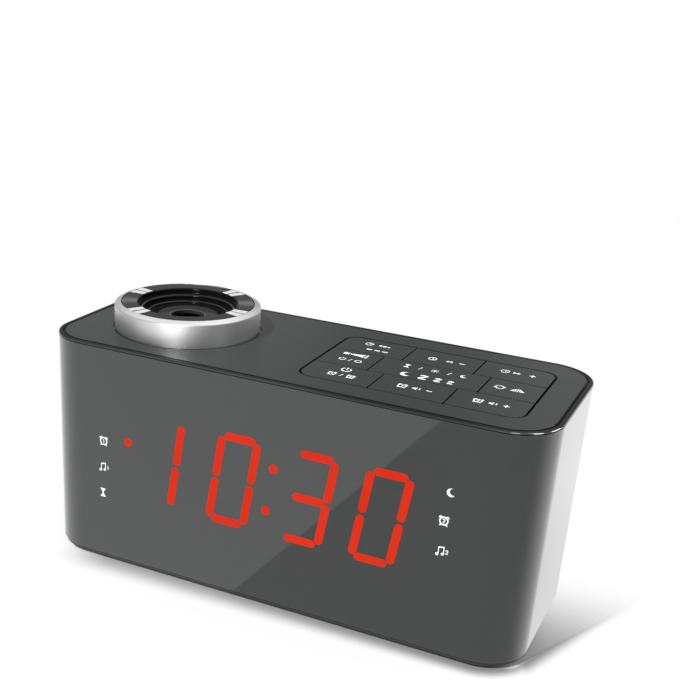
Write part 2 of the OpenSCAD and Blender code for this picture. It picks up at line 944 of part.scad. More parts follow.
// One stroke with round ends, grown all round
module bar(length, grow) {
    square([length - stroke, stroke + 2 * grow], center = true);
    for (sx = [-1, 1])
        translate([sx * (length - stroke) / 2, 0])
            circle(stroke / 2 + grow);
}

// Stroke s of a figure whose middle is at the origin, seen from the front
module segment(s, grow) {
    at = SEGMENT_AT[s];
    rise = at.y * digit_h / 2;
    translate([at.x * digit_w / 2 + rise * tan(slant), rise])
        rotate(SEGMENT_UPRIGHT[s] ? 90 - slant : 0)
            bar(SEGMENT_UPRIGHT[s] ? upright_l : flat_l, grow);
}

function is_lit(digit, s) = len([for (k = DIGIT_LIT[digit]) if (k == s) k]) > 0;

// All strokes and dots that are lit, or all that are dark, seen from the front
module figures(lit, grow) {
    translate([0, display_z]) {
        for (d = [0:3], s = [0:6])
            if (is_lit(d, s) == lit)
                translate([DIGIT_X[d], 0])
                    segment(s, grow);
        if (lit)
            for (sz = [-1, 1])
                translate([sz * digit_h / 4 * tan(slant), sz * digit_h / 4])
                    circle(dot_r + grow);
        for (k = [0:len(INDICATORS) - 1])
            if ((k == lit_indicator) == lit)
                translate(INDICATORS[k])
                    circle(dot_r + grow);
    }
}

module display_block() {
    color(gloss_black)
        difference() {
            deepen(block_y, board_y)
                translate([0, display_z])
                    square([block_w, block_h], center = true);
            deepen(block_y - eps, block_y + segment_t) {
                figures(true, fit);
                figures(false, fit);
            }
        }
}

module lit_segments() {
    color([0.9, 0.15, 0.08])
        deepen(block_y, block_y + segment_t)
            figures(true, 0);
}

module dark_segments() {
    color([0.3, 0.08, 0.07])
        deepen(block_y, block_y + segment_t)
            figures(false, 0);
}

module display_board() {
    color(board_green)
        deepen(board_y, board_y + board_t)
            difference() {
                translate([0, display_z])
                    square([board_w, block_h], center = true);
                for (p = BOARD_BOSSES)
                    translate(p)
                        circle(d = pass_dia);
            }
}

module display_screws() {
    color(silver)
        lying_screws(BOARD_BOSSES, board_y + board_t, board_t + block_t - screw_end, -90);
}

module main_board() {
    color(board_green)
        difference() {
            translate([main_x, main_y, main_z])
                cube([main_w, main_d, board_t]);
            for (p = MAIN_POSTS)
                translate([p.x, p.y, 0])
                    cylinder(d = pass_dia, h = top_z);
        }
}

// Clock and tuner chips, and the shielded tuner can
module board_chips() {
    color([0.12, 0.12, 0.13])
        for (chip = CHIPS)
            translate([main_x + chip[0].x, main_y + chip[0].y, main_top])
                cube(chip[1]);
}

module board_capacitors() {
    color([0.15, 0.2, 0.4])
        for (k = [0:2])
            translate([main_x + main_w / 2 + can_r, main_y + can_in + 2 * k * can_r, main_top])
                cylinder(r = can_r - k, h = can_h - k);
}

module main_screws() {
    length = board_t + main_z - floor_z - screw_end;
    color(silver)
        for (p = MAIN_POSTS)
            translate([p.x, p.y, main_top]) {
                cylinder(d = head_dia, h = head_t);
                translate([0, 0, -length])
                    cylinder(d = screw_dia, h = length + eps);
            }
}

// Low-voltage inlet: a box on the board whose round nose stands in the back wall
module power_socket() {
    color([0.08, 0.08, 0.08])
        difference() {
            union() {
                translate([socket_x - socket_w / 2, back_y - fit - socket_l, main_top])
                    cube([socket_w, socket_l, socket_z - main_top + socket_w / 2]);
                deepen(back_y - 2 * fit, body_d / 2 - fit)
                    translate([socket_x, socket_z])
                        circle(d = nose_dia);
            }
            deepen(back_y - socket_w + fit, body_d)
                translate([socket_x, socket_z])
                    difference() {
                        circle(d = socket_dia);
                        circle(d = socket_pin_dia);
                    }
            deepen(body_d / 2 - socket_recess, body_d)
                translate([socket_x, socket_z])
                    circle(d = socket_dia);
        }
}

// Rubber bush that the aerial wire leaves through
module aerial_gland() {
    color([0.1, 0.1, 0.1])
        difference() {
            union() {
                deepen(back_y - gland_lip_t, body_d / 2)
                    translate([gland_x, socket_z])
                        circle(d = gland_dia);
                deepen(body_d / 2 - gland_lip_t, body_d / 2)
                    translate([gland_x, socket_z])
                        circle(d = gland_dia + 2 * gland_lip);
                deepen(back_y - gland_lip_t - fit, back_y - fit)
                    translate([gland_x, socket_z])
                        circle(d = gland_dia + 2 * gland_lip);
            }
            deepen(back_y - 2 * gland_lip_t, body_d)
                translate([gland_x, socket_z])
                    circle(d = gland_bore);
        }
}

// Sleeve on the main board that the cell tray slides in
module tray_holder() {
    inner_w = 2 * (holder_half - holder_wall);
    inner_h = tray_t + 2 * run_gap;
    front_y = back_y - fit - holder_l;
    roof_z = tray_z - run_gap + inner_h + holder_wall;
    color([0.12, 0.12, 0.13])
        difference() {
            translate([tray_x - holder_half, front_y, main_top])
                cube([2 * holder_half, holder_l, roof_z - main_top]);
            translate([tray_x - inner_w / 2, front_y + holder_wall, tray_z - run_gap])
                cube([inner_w, body_d, inner_h]);
        }
}

// Tray with a round well for the cell and a nail notch in its face
module cell_tray() {
    back = body_d / 2;
    color(smoke)
        difference() {
            translate([tray_x - tray_w / 2, back - tray_l + holder_wall + run_gap, tray_z])
                cube([tray_w, tray_l - holder_wall - run_gap, tray_t]);
            translate([tray_x, cell_y(), tray_z + tray_floor])
                cylinder(d = cell_dia + 2 * fit, h = tray_t);
            translate([tray_x - tray_w / 4, back - notch_d, tray_z - eps])
                cube([tray_w / 2, notch_d + eps, tray_floor + eps]);
        }
}

function cell_y() = body_d / 2 - cell_dia / 2 - wall - fit;

module coin_cell() {
    color(silver)
        translate([tray_x, cell_y(), tray_z + tray_floor])
            cylinder(d = cell_dia, h = cell_t);
}

// Sprung strip on the ceiling of the holder
module cell_contact() {
    strip_w = 4;
    strip_y = back_y - holder_l + 2 * holder_wall;
    color("gold")
        translate([tray_x - strip_w / 2, strip_y, tray_z + tray_t + run_gap - fit])
            cube([strip_w, holder_l / 2, fit]);
}

// Pressed steel frame, open behind the cone
module speaker_basket() {
    rim_y = back_y - gasket_t - rim_t;
    mouth = speaker_r - speaker_lip;
    color(silver) {
        deepen(rim_y, rim_y + rim_t)
            difference() {
                union() {
                    translate([speaker_x, speaker_z])
                        circle(speaker_r);
                    for (p = SPEAKER_EARS)
                        translate(p)
                            circle(post_dia / 2 + ear_edge);
                }
                translate([speaker_x, speaker_z])
                    circle(speaker_r - speaker_lip);
                for (p = SPEAKER_EARS)
                    translate(p)
                        circle(d = pass_dia);
            }
        translate([speaker_x, rim_y, speaker_z])
            rotate([90, 0, 0])
                difference() {
                    translate([0, 0, -fit])
                        cylinder(r1 = mouth + basket_wall, r2 = basket_r, h = basket_l + fit);
                    translate([0, 0, -eps])
                        cylinder(r1 = mouth, r2 = basket_r - basket_wall, h = basket_l - basket_wall + eps);
                }
    }
}

module speaker_magnet() {
    color([0.2, 0.2, 0.2])
        translate([speaker_x, back_y - gasket_t - rim_t - basket_l, speaker_z])
            rotate([90, 0, 0])
                cylinder(r = magnet_r, h = magnet_l);
}

// Paper cone with its dust cap, hung just inside the rim
module speaker_cone() {
    rim_y = back_y - gasket_t - rim_t;
    mouth = speaker_r - speaker_lip - run_gap;
    depth = basket_l - cone_clear;
    color([0.15, 0.15, 0.15])
        translate([speaker_x, rim_y + rim_t, speaker_z])
            rotate([90, 0, 0]) {
                difference() {
                    cylinder(r1 = mouth, r2 = cone_r, h = depth);
                    translate([0, 0, -cone_t])
                        cylinder(r1 = mouth, r2 = cone_r, h = depth);
                    translate([0, 0, -eps])
                        cylinder(r = cone_r - stop_lip, h = depth + 2 * eps);
                }
                translate([0, 0, depth - 2 * cone_t])
                    cylinder(r = cone_r - fit, h = cone_t);
            }
}

module speaker_gasket() {
    color([0.08, 0.08, 0.08])
        deepen(back_y - gasket_t, back_y)
            translate([speaker_x, speaker_z])
                difference() {
                    circle(speaker_r - run_gap);
                    circle(speaker_r - speaker_lip);
                }
}

module speaker_screws() {
    color(silver)
        lying_screws(SPEAKER_EARS, back_y - gasket_t - rim_t, rim_t + gasket_t + wall - screw_end - fit, 90);
}

// Flat cable from the display board down to the main board
module display_ribbon() {
    start_y = board_y + board_t;
    drop_z = display_z - block_h / 2 + plug_t;
    color([0.7, 0.7, 0.72])
        translate([ribbon_x - ribbon_w / 2, 0, 0]) {
            translate([0, start_y, drop_z])
                cube([ribbon_w, plug_t, plug_t]);
            translate([0, start_y + plug_t / 2, main_top + plug_t / 2])
                cube([ribbon_w, ribbon_t, drop_z - main_top]);
            translate([0, start_y + plug_t / 2, main_top + plug_t / 2])
                cube([ribbon_w, main_y + plug_t - start_y, ribbon_t]);
            translate([0, main_y + plug_t / 2, main_top])
                cube([ribbon_w, plug_t, plug_t]);
        }
}

// Flat cable from the key board down to the main board
module key_ribbon() {
    plug_x = main_x + main_w - plug_t - plug_in;
    top = mat_z - key_board_t;
    ribbon_y = main_y + main_d / 2;
    color([0.7, 0.7, 0.72]) {
        translate([plug_x, ribbon_y, main_top])
            cube([plug_t, ribbon_w, plug_t]);
        translate([plug_x + plug_t / 2, ribbon_y, main_top + plug_t - fit])
            cube([ribbon_t, ribbon_w, top - main_top - 2 * plug_t + 2 * fit]);
        translate([plug_x, ribbon_y, top - plug_t])
            cube([plug_t, ribbon_w, plug_t]);
    }
}

front_cover();
rear_cabinet();
base_plate();
top_frame();
top_plate();
rubber_feet();
case_screws();
set_key();
hour_key();
minute_key();
projection_key();
snooze_key();
flip_key();
power_key();
alarm_one_key();
alarm_two_key();
key_guide();
key_mat();
key_board();
key_screws();
focus_ring();
ring_bezel();
ring_stripes();
lens_barrel();
projector_lens();
projector_housing();
projector_screws();
time_slide();
condenser_lens();
lamp_board();
projector_lamp();
lamp_screws();
display_block();
lit_segments();
dark_segments();
display_board();
display_screws();
main_board();
board_chips();
board_capacitors();
main_screws();
power_socket();
aerial_gland();
tray_holder();
cell_tray();
coin_cell();
cell_contact();
speaker_basket();
speaker_magnet();
speaker_cone();
speaker_gasket();
speaker_screws();
display_ribbon();
key_ribbon();
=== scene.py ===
# Frame: the imported clock radio at rest, in metres, standing on the table at height zero.
from math import atan2, cos, pi, radians, sin, sqrt, tan

import bmesh
import bpy
from mathutils import Matrix, Vector
from mathutils.geometry import tessellate_polygon


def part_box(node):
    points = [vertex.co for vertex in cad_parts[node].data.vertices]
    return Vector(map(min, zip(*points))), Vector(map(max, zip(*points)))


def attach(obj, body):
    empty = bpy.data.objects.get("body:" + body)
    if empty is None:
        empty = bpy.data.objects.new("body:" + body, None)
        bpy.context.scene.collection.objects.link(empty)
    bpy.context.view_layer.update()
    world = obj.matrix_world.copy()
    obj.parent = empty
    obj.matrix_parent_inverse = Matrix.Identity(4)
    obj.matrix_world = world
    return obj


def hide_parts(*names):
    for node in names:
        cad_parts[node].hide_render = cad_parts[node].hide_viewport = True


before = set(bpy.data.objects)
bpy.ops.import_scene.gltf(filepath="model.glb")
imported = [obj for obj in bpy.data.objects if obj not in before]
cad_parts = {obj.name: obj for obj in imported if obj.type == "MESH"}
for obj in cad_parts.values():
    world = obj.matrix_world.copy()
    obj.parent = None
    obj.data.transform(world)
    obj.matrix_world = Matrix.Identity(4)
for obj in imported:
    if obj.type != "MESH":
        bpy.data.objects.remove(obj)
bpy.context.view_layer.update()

# Front cover: the smoked front of the case, moulded in tinted acrylic and polished to a deep gloss.
# It wraps both front corners back to the seam and stands between the base plate and the top frame.
mm = 0.001
cover_low, cover_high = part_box("front_cover")
half_w = cover_high.x
half_d = -cover_low.y
corner_r = 15.5 * mm
wall = 2.2 * mm
lap = 0.88 * mm
ledge_drop = 1.3 * mm
edge_ease = 0.3 * mm
seam_ease = 0.03 * mm
seam_close = 0.08 * mm
seam_gap = 0.2 * mm
top_ease = 0.06 * mm
shell_rise = 0.25 * mm
flat_margin = 0.1 * mm
sharp_turn = radians(40)
weld = 1e-7
tone_places = (0.3, 0.7)


def wire(tree, kind, inputs, **options):
    """Adds a node, sets its options, and gives each input, by name or number, a value or a link."""
    node = tree.nodes.new(kind)
    for option, value in options.items():
        setattr(node, option, value)
    for place, value in inputs.items():
        if isinstance(value, bpy.types.NodeSocket):
            tree.links.new(value, node.inputs[place])
        else:
            node.inputs[place].default_value = value
    return node


def set_stops(node, stops):
    """Gives a colour ramp its stops (place, colour)."""
    elements = node.color_ramp.elements
    for order, (place, colour) in enumerate(stops):
        stop = elements[order] if order < 2 else elements.new(place)
        stop.position = place
        stop.color = (*colour, 1.0)


def make_moulded_skin():
    """Shared effect: a fine grain for bumps and a slow drift of tone, both in the piece's own space."""
    tree = bpy.data.node_groups.new("moulded_skin", "ShaderNodeTree")
    for name in ("Grain", "Drift"):
        tree.interface.new_socket(name, in_out="INPUT", socket_type="NodeSocketFloat")
    for name in ("Height", "Tone"):
        tree.interface.new_socket(name, in_out="OUTPUT", socket_type="NodeSocketFloat")
    sizes = tree.nodes.new("NodeGroupInput")
    place = tree.nodes.new("ShaderNodeTexCoord").outputs["Object"]
    grain, drift = (
        wire(tree, "ShaderNodeTexNoise", {"Vector": place, "Scale": sizes.outputs[size], "Detail": detail})
        for size, detail in (("Grain", 3.0), ("Drift", 2.0))
    )
    wire(tree, "NodeGroupOutput", {"Height": grain.outputs[0], "Tone": drift.outputs[0]})
    return tree


moulded_skin = make_moulded_skin()


def finish(name, colour, roughness, grain, depth, spread=0.1, drift=30.0, constants=None):
    """A material whose tone drifts by spread and whose skin has a grain, per metre, of that depth."""
    material = bpy.data.materials.new(name)
    material.use_nodes = True
    tree = material.node_tree
    shader = tree.nodes["Principled BSDF"]
    skin = wire(tree, "ShaderNodeGroup", {"Grain": grain, "Drift": drift}, node_tree=moulded_skin)
    tone = wire(tree, "ShaderNodeValToRGB", {"Fac": skin.outputs["Tone"]})
    set_stops(tone, [
        (place, [min(1.0, channel * change) for channel in colour])
        for place, change in zip(tone_places, (1 - spread, 1 + spread))
    ])
    bump = wire(tree, "ShaderNodeBump", {"Height": skin.outputs["Height"], "Distance": depth})
    tree.links.new(tone.outputs["Color"], shader.inputs["Base Color"])
    tree.links.new(bump.outputs["Normal"], shader.inputs["Normal"])
    shader.inputs["Roughness"].default_value = roughness
    for socket, value in (constants or {}).items():
        shader.inputs[socket].default_value = value
    return material


def swing(start, end, steps):
    """Angles from one to another in equal steps, given in degrees."""
    return [radians(start + (end - start) * step / steps) for step in range(steps + 1)]


def toward(angle):
    """A flat way of length one at an angle."""
    return Vector((cos(angle), sin(angle)))


def eased(corners, steps=4, margin=flat_margin):
    """A closed outline from corners (across, up, radius), each rounded, with a margin of flat beside it."""
    outline = []
    for k, (across, up, radius) in enumerate(corners):
        here = Vector((across, up))
        if radius == 0:
            outline.append(here)
            continue
        before = (Vector(corners[k - 1][:2]) - here).normalized()
        after = (Vector(corners[(k + 1) % len(corners)][:2]) - here).normalized()
        half = before.angle(after) / 2
        middle = here + (before + after).normalized() * radius / sin(half)
        first = here + before * radius / tan(half)
        last = here + after * radius / tan(half)
        start = atan2(*(first - middle).yx)
        turn = (atan2(*(last - middle).yx) - start + pi) % (2 * pi) - pi
        outline.append(first + before * margin)
        for step in range(steps + 1):
            outline.append(middle + radius * toward(start + turn * step / steps))
        outline.append(last + after * margin)
    return outline


def corner_turn(side_x, side_y, steps=20):
    """Stations (place, way out, easing) round one case corner, from its side to its front or back."""
    middle = Vector((side_x * (half_w - corner_r), side_y * (half_d - corner_r)))
    ways = [Vector((side_x * cos(turn), side_y * sin(turn))) for turn in swing(0, 90, steps)]
    places = [middle + corner_r * way for way in ways]
    first = places[0] - Vector((0, side_y * flat_margin))
    last = places[-1] - Vector((side_x * flat_margin, 0))
    stations = zip((first, *places, last), (ways[0], *ways, ways[-1]))
    return [(place, way, 0.0) for place, way in stations]


def seam_edge(side_x, facing, seam, steps=4):
    """Stations from the tip of a shell's seam edge to where its rounding meets the wall."""
    stations = []
    for turn in swing(90, 0, steps):
        place = Vector((side_x * half_w, seam + facing * (seam_ease * (1 - sin(turn)) - seam_close)))
        stations.append((place, Vector((side_x, 0)), seam_ease * (1 - cos(turn))))
    flat = stations[-1][0] + Vector((0, facing * seam_ease))
    return stations + [(flat, Vector((side_x, 0)), 0.0)]


def bands(first, count, rings, closed=False):
    """Faces between rings of equal count, whose points follow one another from the first."""
    faces = []
    for ring in range(rings if closed else rings - 1):
        start = first + ring * count
        step = count if ring + 1 < rings else -ring * count
        for k in range(count):
            a, b = start + k, start + (k + 1) % count
            faces.append((a, b, b + step, a + step))
    return faces


def sweep(stations, section, closed=False):
    """Skin of a section (depth, height) carried round the stations, its ends capped unless it is closed."""
    points = []
    for place, way, ease in stations:
        points += [(*(place - way * max(depth, ease)), height) for depth, height in section]
    count, rings = len(section), len(stations)
    faces = bands(0, count, rings, closed)
    if not closed:
        faces += [tuple(range(count)), tuple(range((rings - 1) * count, rings * count))]
    return points, faces


def put(name, data):
    """Adds an object to the scene."""
    made = bpy.data.objects.new(name, data)
    bpy.context.scene.collection.objects.link(made)
    return made


def piece(name, skins, material):
    """One object from closed skins (points, faces), faces outward, smooth up to a sharp angle."""
    shell = bmesh.new()
    for points, faces in skins:
        corners = [shell.verts.new(point) for point in points]
        for face in faces:
            shell.faces.new([corners[k] for k in face])
    bmesh.ops.remove_doubles(shell, verts=shell.verts, dist=weld)
    bmesh.ops.recalc_face_normals(shell, faces=shell.faces)
    mesh = bpy.data.meshes.new(name)
    shell.to_mesh(mesh)
    shell.free()
    mesh.shade_smooth()
    mesh.set_sharp_from_angle(angle=sharp_turn)
    mesh.materials.append(material)
    return put(name, mesh)


def shell_section(low, high):
    """Wall of either shell, with its outer edges eased and the rebate that takes the top frame."""
    ledge = high - ledge_drop
    top = high + shell_rise
    return eased([
        (0, low, edge_ease), (0, top, top_ease), (lap, top, 0),
        (lap, ledge, 0), (wall, ledge, 0), (wall, low, 0),
    ])


smoked_gloss = finish(
    "smoked_gloss", (0.0175, 0.0196, 0.019), 0.04, 90.0, 0.4e-6, spread=0.06, drift=14.0,
    constants={"IOR": 1.5, "Coat Weight": 1.0, "Coat Roughness": 0.02, "Coat IOR": 1.5},
)
front_path = seam_edge(-1, -1, cover_high.y) + corner_turn(-1, -1)
front_path += corner_turn(1, -1)[::-1] + seam_edge(1, -1, cover_high.y)[::-1]
front_shell = piece(
    "front_shell", [sweep(front_path, shell_section(cover_low.z, cover_high.z))], smoked_gloss
)
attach(front_shell, "body")
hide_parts("front_cover")

# Clock figures: red windows of light in the smoked front, over the strokes of the display block behind it.
# Four slanted figures of seven strokes with round ends, a colon, and one round lamp beside the first figure.
figure_z = 43.6 * mm
figure_x = (-40.1 * mm, -12.2 * mm, 14.8 * mm, 39.4 * mm)
figure_h = 30.5 * mm
figure_w = 12.8 * mm
stroke_w = 2.8 * mm
slant = radians(7.8)
flat_l = 11.2 * mm
upright_l = 14.6 * mm
stroke_places = ((0, 1), (1, 0.5), (1, -0.5), (0, -1), (-1, -0.5), (-1, 0.5), (0, 0))
lit_strokes = ((1, 2), (0, 1, 2, 3, 4, 5), (0, 1, 2, 3, 6), (0, 1, 2, 3, 4, 5))
dot_r = 1.6 * mm
colon_x = 1.15 * mm
lamp_place = Vector((-52.6 * mm, 48.0 * mm))
window_lift = 0.04 * mm
lift_step = 0.04
glow_colours = ((0.72, 0.030, 0.011), (0.79, 0.034, 0.0125))


def raised(flats, place, lift):
    """Thin closed plates from flat shapes (points, faces), each a hair higher than the one before."""
    skins = []
    for order, (points, faces) in enumerate(flats):
        rise = lift * (1 + lift_step * order)
        count = len(points)
        solid = [place(point, rise) for point in points] + [place(point, -lift) for point in points]
        edges = [(face[k - 1], face[k]) for face in faces for k in range(len(face))]
        rim = [(a, b) for a, b in edges if (b, a) not in edges]
        sides = [(b, a, a + count, b + count) for a, b in rim]
        fronts = [tuple(face) for face in faces]
        backs = [tuple(k + count for k in face[::-1]) for face in faces]
        skins.append((solid, fronts + backs + sides))
    return skins


def on_front(point, rise):
    """A point of a flat shape, across and up, laid on the front of the case."""
    return Vector((point[0], -half_d - rise, point[1]))


def circle(middle, radius, steps):
    """Points round a circle."""
    return [Vector(middle) + radius * toward(2 * pi * step / steps) for step in range(steps)]


def disc(middle, radius, steps=24):
    """A flat round spot."""
    return circle(middle, radius, steps), [list(range(steps))]


def rounded_stroke(middle, length, width, lean, steps=8):
    """A flat stroke with round ends, leaning by an angle from level."""
    along = toward(lean)
    across = Vector((-along.y, along.x))
    points = []
    for end in (1, -1):
        for turn in swing(-90, 90, steps):
            tip = along * cos(turn) + across * sin(turn)
            points.append(Vector(middle) + end * (along * (length - width) / 2 + tip * width / 2))
    return points, [list(range(len(points)))]


lit_red = finish(
    "lit_red", (0.01, 0.002, 0.001), 0.5, 400.0, 1e-6,
    constants={"Specular IOR Level": 0.0, "Emission Strength": 1.0},
)
lit_tree = lit_red.node_tree
glow = wire(lit_tree, "ShaderNodeValToRGB", {"Fac": lit_tree.nodes["Group"].outputs["Tone"]})
set_stops(glow, zip(tone_places, glow_colours))
lit_tree.links.new(glow.outputs["Color"], lit_tree.nodes["Principled BSDF"].inputs["Emission Color"])
windows = [disc(lamp_place, dot_r)]
for side in (-1, 1):
    rise = side * figure_h / 4
    windows.append(disc((colon_x + rise * tan(slant), figure_z + rise), dot_r))
for middle_x, strokes in zip(figure_x, lit_strokes):
    for stroke in strokes:
        across, up = stroke_places[stroke]
        rise = up * figure_h / 2
        middle = (middle_x + across * figure_w / 2 + rise * tan(slant), figure_z + rise)
        upright = across != 0
        windows.append(rounded_stroke(
            middle, upright_l if upright else flat_l, stroke_w, pi / 2 - slant if upright else 0.0
        ))
figure_windows = piece("figure_windows", raised(windows, on_front, window_lift), lit_red)
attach(figure_windows, "body")

# Front prints: small white signs screen printed beside the figures, three on each side.
# Plain signs of their kind: an alarm clock and a note with their number, an hourglass and a moon.
print_lift = 0.03 * mm
line_w = 0.42


def ribbon(path, width, closed=False):
    """A flat line of one width along a path."""
    points = []
    count = len(path)
    for k, here in enumerate(path):
        before = path[k - 1] if k or closed else here
        after = path[(k + 1) % count] if k + 1 < count or closed else here
        way = (after - before).normalized()
        side = Vector((-way.y, way.x)) * width / 2
        points += [here + side, here - side]
    laps = range(count if closed else count - 1)
    return points, [[2 * k, 2 * k + 1, 2 * ((k + 1) % count) + 1, 2 * ((k + 1) % count)] for k in laps]


def line(*ends, width=line_w):
    """A flat line through the given points."""
    return ribbon([Vector(end) for end in ends], width)


def arc(middle, radius, start=0, end=360, width=line_w, steps=20):
    """Part of a flat ring, or all of it."""
    whole = end - start == 360
    path = [Vector(middle) + radius * toward(turn) for turn in swing(start, end, steps)]
    return ribbon(path[:-1] if whole else path, width, whole)


def patch(*corners):
    """A flat filled shape."""
    return [Vector(corner) for corner in corners], [list(range(len(corners)))]


def placed(flats, across, up, size=1.0):
    """Flat shapes drawn in millimetres, moved and scaled to their place."""
    shift = Vector((across, up))
    return [([(point * size + shift) * mm for point in points], faces) for points, faces in flats]


def numeral(number, across=0.0):
    """A plain one or two, about 1.3 high."""
    if number == 1:
        width = 0.28
        path = [(-0.3, 0.35), (0.05, 0.65), (0.05, -0.65)]
    else:
        width = 0.26
        path = [Vector((0, 0.28)) + 0.36 * toward(turn) for turn in swing(170, -30, 10)]
        path += [(-0.38, -0.6), (0.42, -0.6)]
    return [ribbon([Vector((across, 0)) + Vector(point) for point in path], width)]


def alarm_clock(number):
    """Round clock with two bells and two feet, its number inside."""
    bells = [line((side * 1.6, 1.0), (side * 0.85, 1.6), width=0.42) for side in (-1, 1)]
    feet = [line((side * 0.85, -1.2), (side * 1.2, -1.65), width=0.36) for side in (-1, 1)]
    return [arc((0, 0), 1.28)] + bells + feet + numeral(number)


def notes(number):
    """Two joined notes, with their number beside them."""
    heads = [disc((-1.3, -1.2), 0.48, 12), disc((0.4, -0.9), 0.48, 12)]
    stems = [line((-0.95, -1.2), (-0.95, 1.0), width=0.26), line((0.75, -0.9), (0.75, 1.3), width=0.26)]
    beam = patch((-1.08, 0.95), (0.88, 1.3), (0.88, 1.75), (-1.08, 1.4))
    return [*heads, *stems, beam, *numeral(number, 1.7)]


hourglass = [line((-1.0, side * 1.4), (1.0, side * 1.4), width=0.36) for side in (-1, 1)]
hourglass += [patch((-0.75, side * 1.15), (0.75, side * 1.15), (0.1, 0), (-0.1, 0)) for side in (-1, 1)]
moon = [patch(
    *(1.4 * toward(turn) for turn in swing(70, 310, 12)),
    *(Vector((0.62, 0.3)) + 1.15 * toward(turn) for turn in swing(290, 90, 10)),
)]
# The white print is given a faint glow of its own: painted light, since the print is no lamp.
print_white = finish(
    "print_white", (0.9, 0.9, 0.89), 0.55, 3000.0, 2e-6, spread=0.05, drift=200.0,
    constants={"Emission Color": (1.0, 1.0, 1.0, 1.0), "Emission Strength": 0.12},
)
front_signs = (
    (alarm_clock(1), -62.4, 46.3), (notes(1), -62.5, 36.5), (hourglass, -62.9, 26.7),
    (moon, 60.6, 57.7), (alarm_clock(2), 59.4, 48.0), (notes(2), 59.8, 37.8),
)
sign_flats = []
for flats, across, up in front_signs:
    sign_flats += placed(flats, across, up)
front_prints = piece("front_prints", raised(sign_flats, on_front, print_lift), print_white)
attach(front_prints, "body")

# Display: a black reflector block with a light guide in each stroke, on a circuit board behind the front.
# The block is moulded, the board is etched and lacquered green, and screws hold both to the front cover.


def dress(material, *nodes):
    """Gives the material to construction pieces whose shape is right as it is."""
    for node in nodes:
        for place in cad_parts[node].material_slots:
            place.material = material


bare_metal = {"Metallic": 1.0}
part_black = finish("part_black", (0.032, 0.032, 0.033), 0.42, 2500.0, 6e-6, spread=0.15)
screw_steel = finish(
    "screw_steel", (0.52, 0.52, 0.51), 0.3, 1800.0, 3e-6, drift=300.0, constants=bare_metal
)
dark_red = finish("dark_red", (0.06, 0.012, 0.01), 0.35, 900.0, 2e-6)
ribbon_grey = finish("ribbon_grey", (0.42, 0.42, 0.41), 0.5, 1200.0, 4e-6, drift=120.0)


def make_board_green():
    """Green lacquer over copper tracks: a fine maze of lighter lines that also stand a little proud."""
    material = finish("board_green", (0.012, 0.10, 0.035), 0.35, 900.0, 3e-6)
    tree = material.node_tree
    place = tree.nodes.new("ShaderNodeTexCoord").outputs["Object"]
    maze = wire(tree, "ShaderNodeTexBrick", {
        "Vector": place, "Scale": 160.0, "Mortar Size": 0.03,
        "Color1": (0.010, 0.085, 0.030, 1), "Color2": (0.014, 0.11, 0.04, 1), "Mortar": (0.03, 0.19, 0.07, 1),
    })
    tree.links.new(maze.outputs["Color"], tree.nodes["Principled BSDF"].inputs["Base Color"])
    return material


board_green = make_board_green()
dress(part_black, "display_block")
dress(lit_red, "lit_segments")
dress(dark_red, "dark_segments")
dress(board_green, "display_board")
dress(screw_steel, "display_screws")
dress(ribbon_grey, "display_ribbon")

# Rear cabinet: the back half of the case, moulded in gloss black, with the speaker grille and the openings.
# It meets the front cover at the seam, and its edges and every opening are lightly rounded by the mould.
cabinet_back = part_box("rear_cabinet")[1].y
grille_x = 42.0 * mm
grille_z = 41.2 * mm
grille_reach = 22.4 * mm
slot_h = 2.0 * mm
slot_pitch = 4.4 * mm
slot_count = 11
socket_place = (-12.0 * mm, 17.8 * mm)
gland_place = (-28.0 * mm, 17.8 * mm)
tray_place = (-48.0 * mm, 16.1 * mm)
socket_hole_r = 4.35 * mm
gland_hole_r = 3.1 * mm
gland_seat_r = 4.5 * mm
gland_seat_d = 0.9 * mm
tray_hole = (23.6 * mm, 5.2 * mm)
cut_past = 1.0 * mm
flat_facing = 0.99999


def loft(loops):
    """A closed skin through loops of equal count, capped at both ends."""
    count = len(loops[0])
    points = [point for loop in loops for point in loop]
    caps = [tuple(range(count)), tuple(range(len(points) - count, len(points)))]
    return points, caps + bands(0, count, len(loops))


def box_outline(low, high, radii, inset=0.0, steps=6):
    """A rectangle between two corners, rounded by these radii from lower left round, moved inwards."""
    outline = []
    for k, (side_x, side_y) in enumerate(((-1, -1), (1, -1), (1, 1), (-1, 1))):
        radius = radii[k]
        corner_x = (high if side_x > 0 else low)[0]
        corner_y = (high if side_y > 0 else low)[1]
        middle = Vector((corner_x - side_x * radius, corner_y - side_y * radius))
        start = 180 + 90 * k
        outline += [middle + (radius - inset) * toward(turn) for turn in swing(start, start + 90, steps)]
    return outline


def cutter(outline, levels):
    """A plug along the depth of the case, whose outline grows at levels (depth, growth)."""
    return loft([[(across, depth, up) for across, up in outline(growth)] for depth, growth in levels])


def round_hole(place, radius, steps=32):
    """The outline of a round hole as a function of its growth, with no point straight above its middle."""
    def outline(growth):
        """Points of the outline, grown."""
        angles = [2 * pi * (step + 0.5) / steps for step in range(steps)]
        reach = radius + growth
        return [(place[0] + reach * cos(a), place[1] + reach * sin(a)) for a in angles]
    return outline


def flared(steps=3):
    """Levels of a cut through the back wall whose outer edge is eased."""
    levels = [(cabinet_back - wall - cut_past, 0.0)]
    for turn in swing(0, 90, steps):
        levels.append((cabinet_back - edge_ease * (1 - sin(turn)), edge_ease * (1 - cos(turn))))
    return levels + [(cabinet_back + cut_past, edge_ease)]


def settle(made):
    """Makes what the modifiers of an object give its own plain mesh, and removes them."""
    plain = bpy.data.meshes.new_from_object(made.evaluated_get(bpy.context.evaluated_depsgraph_get()))
    made.modifiers.clear()
    made.data = plain


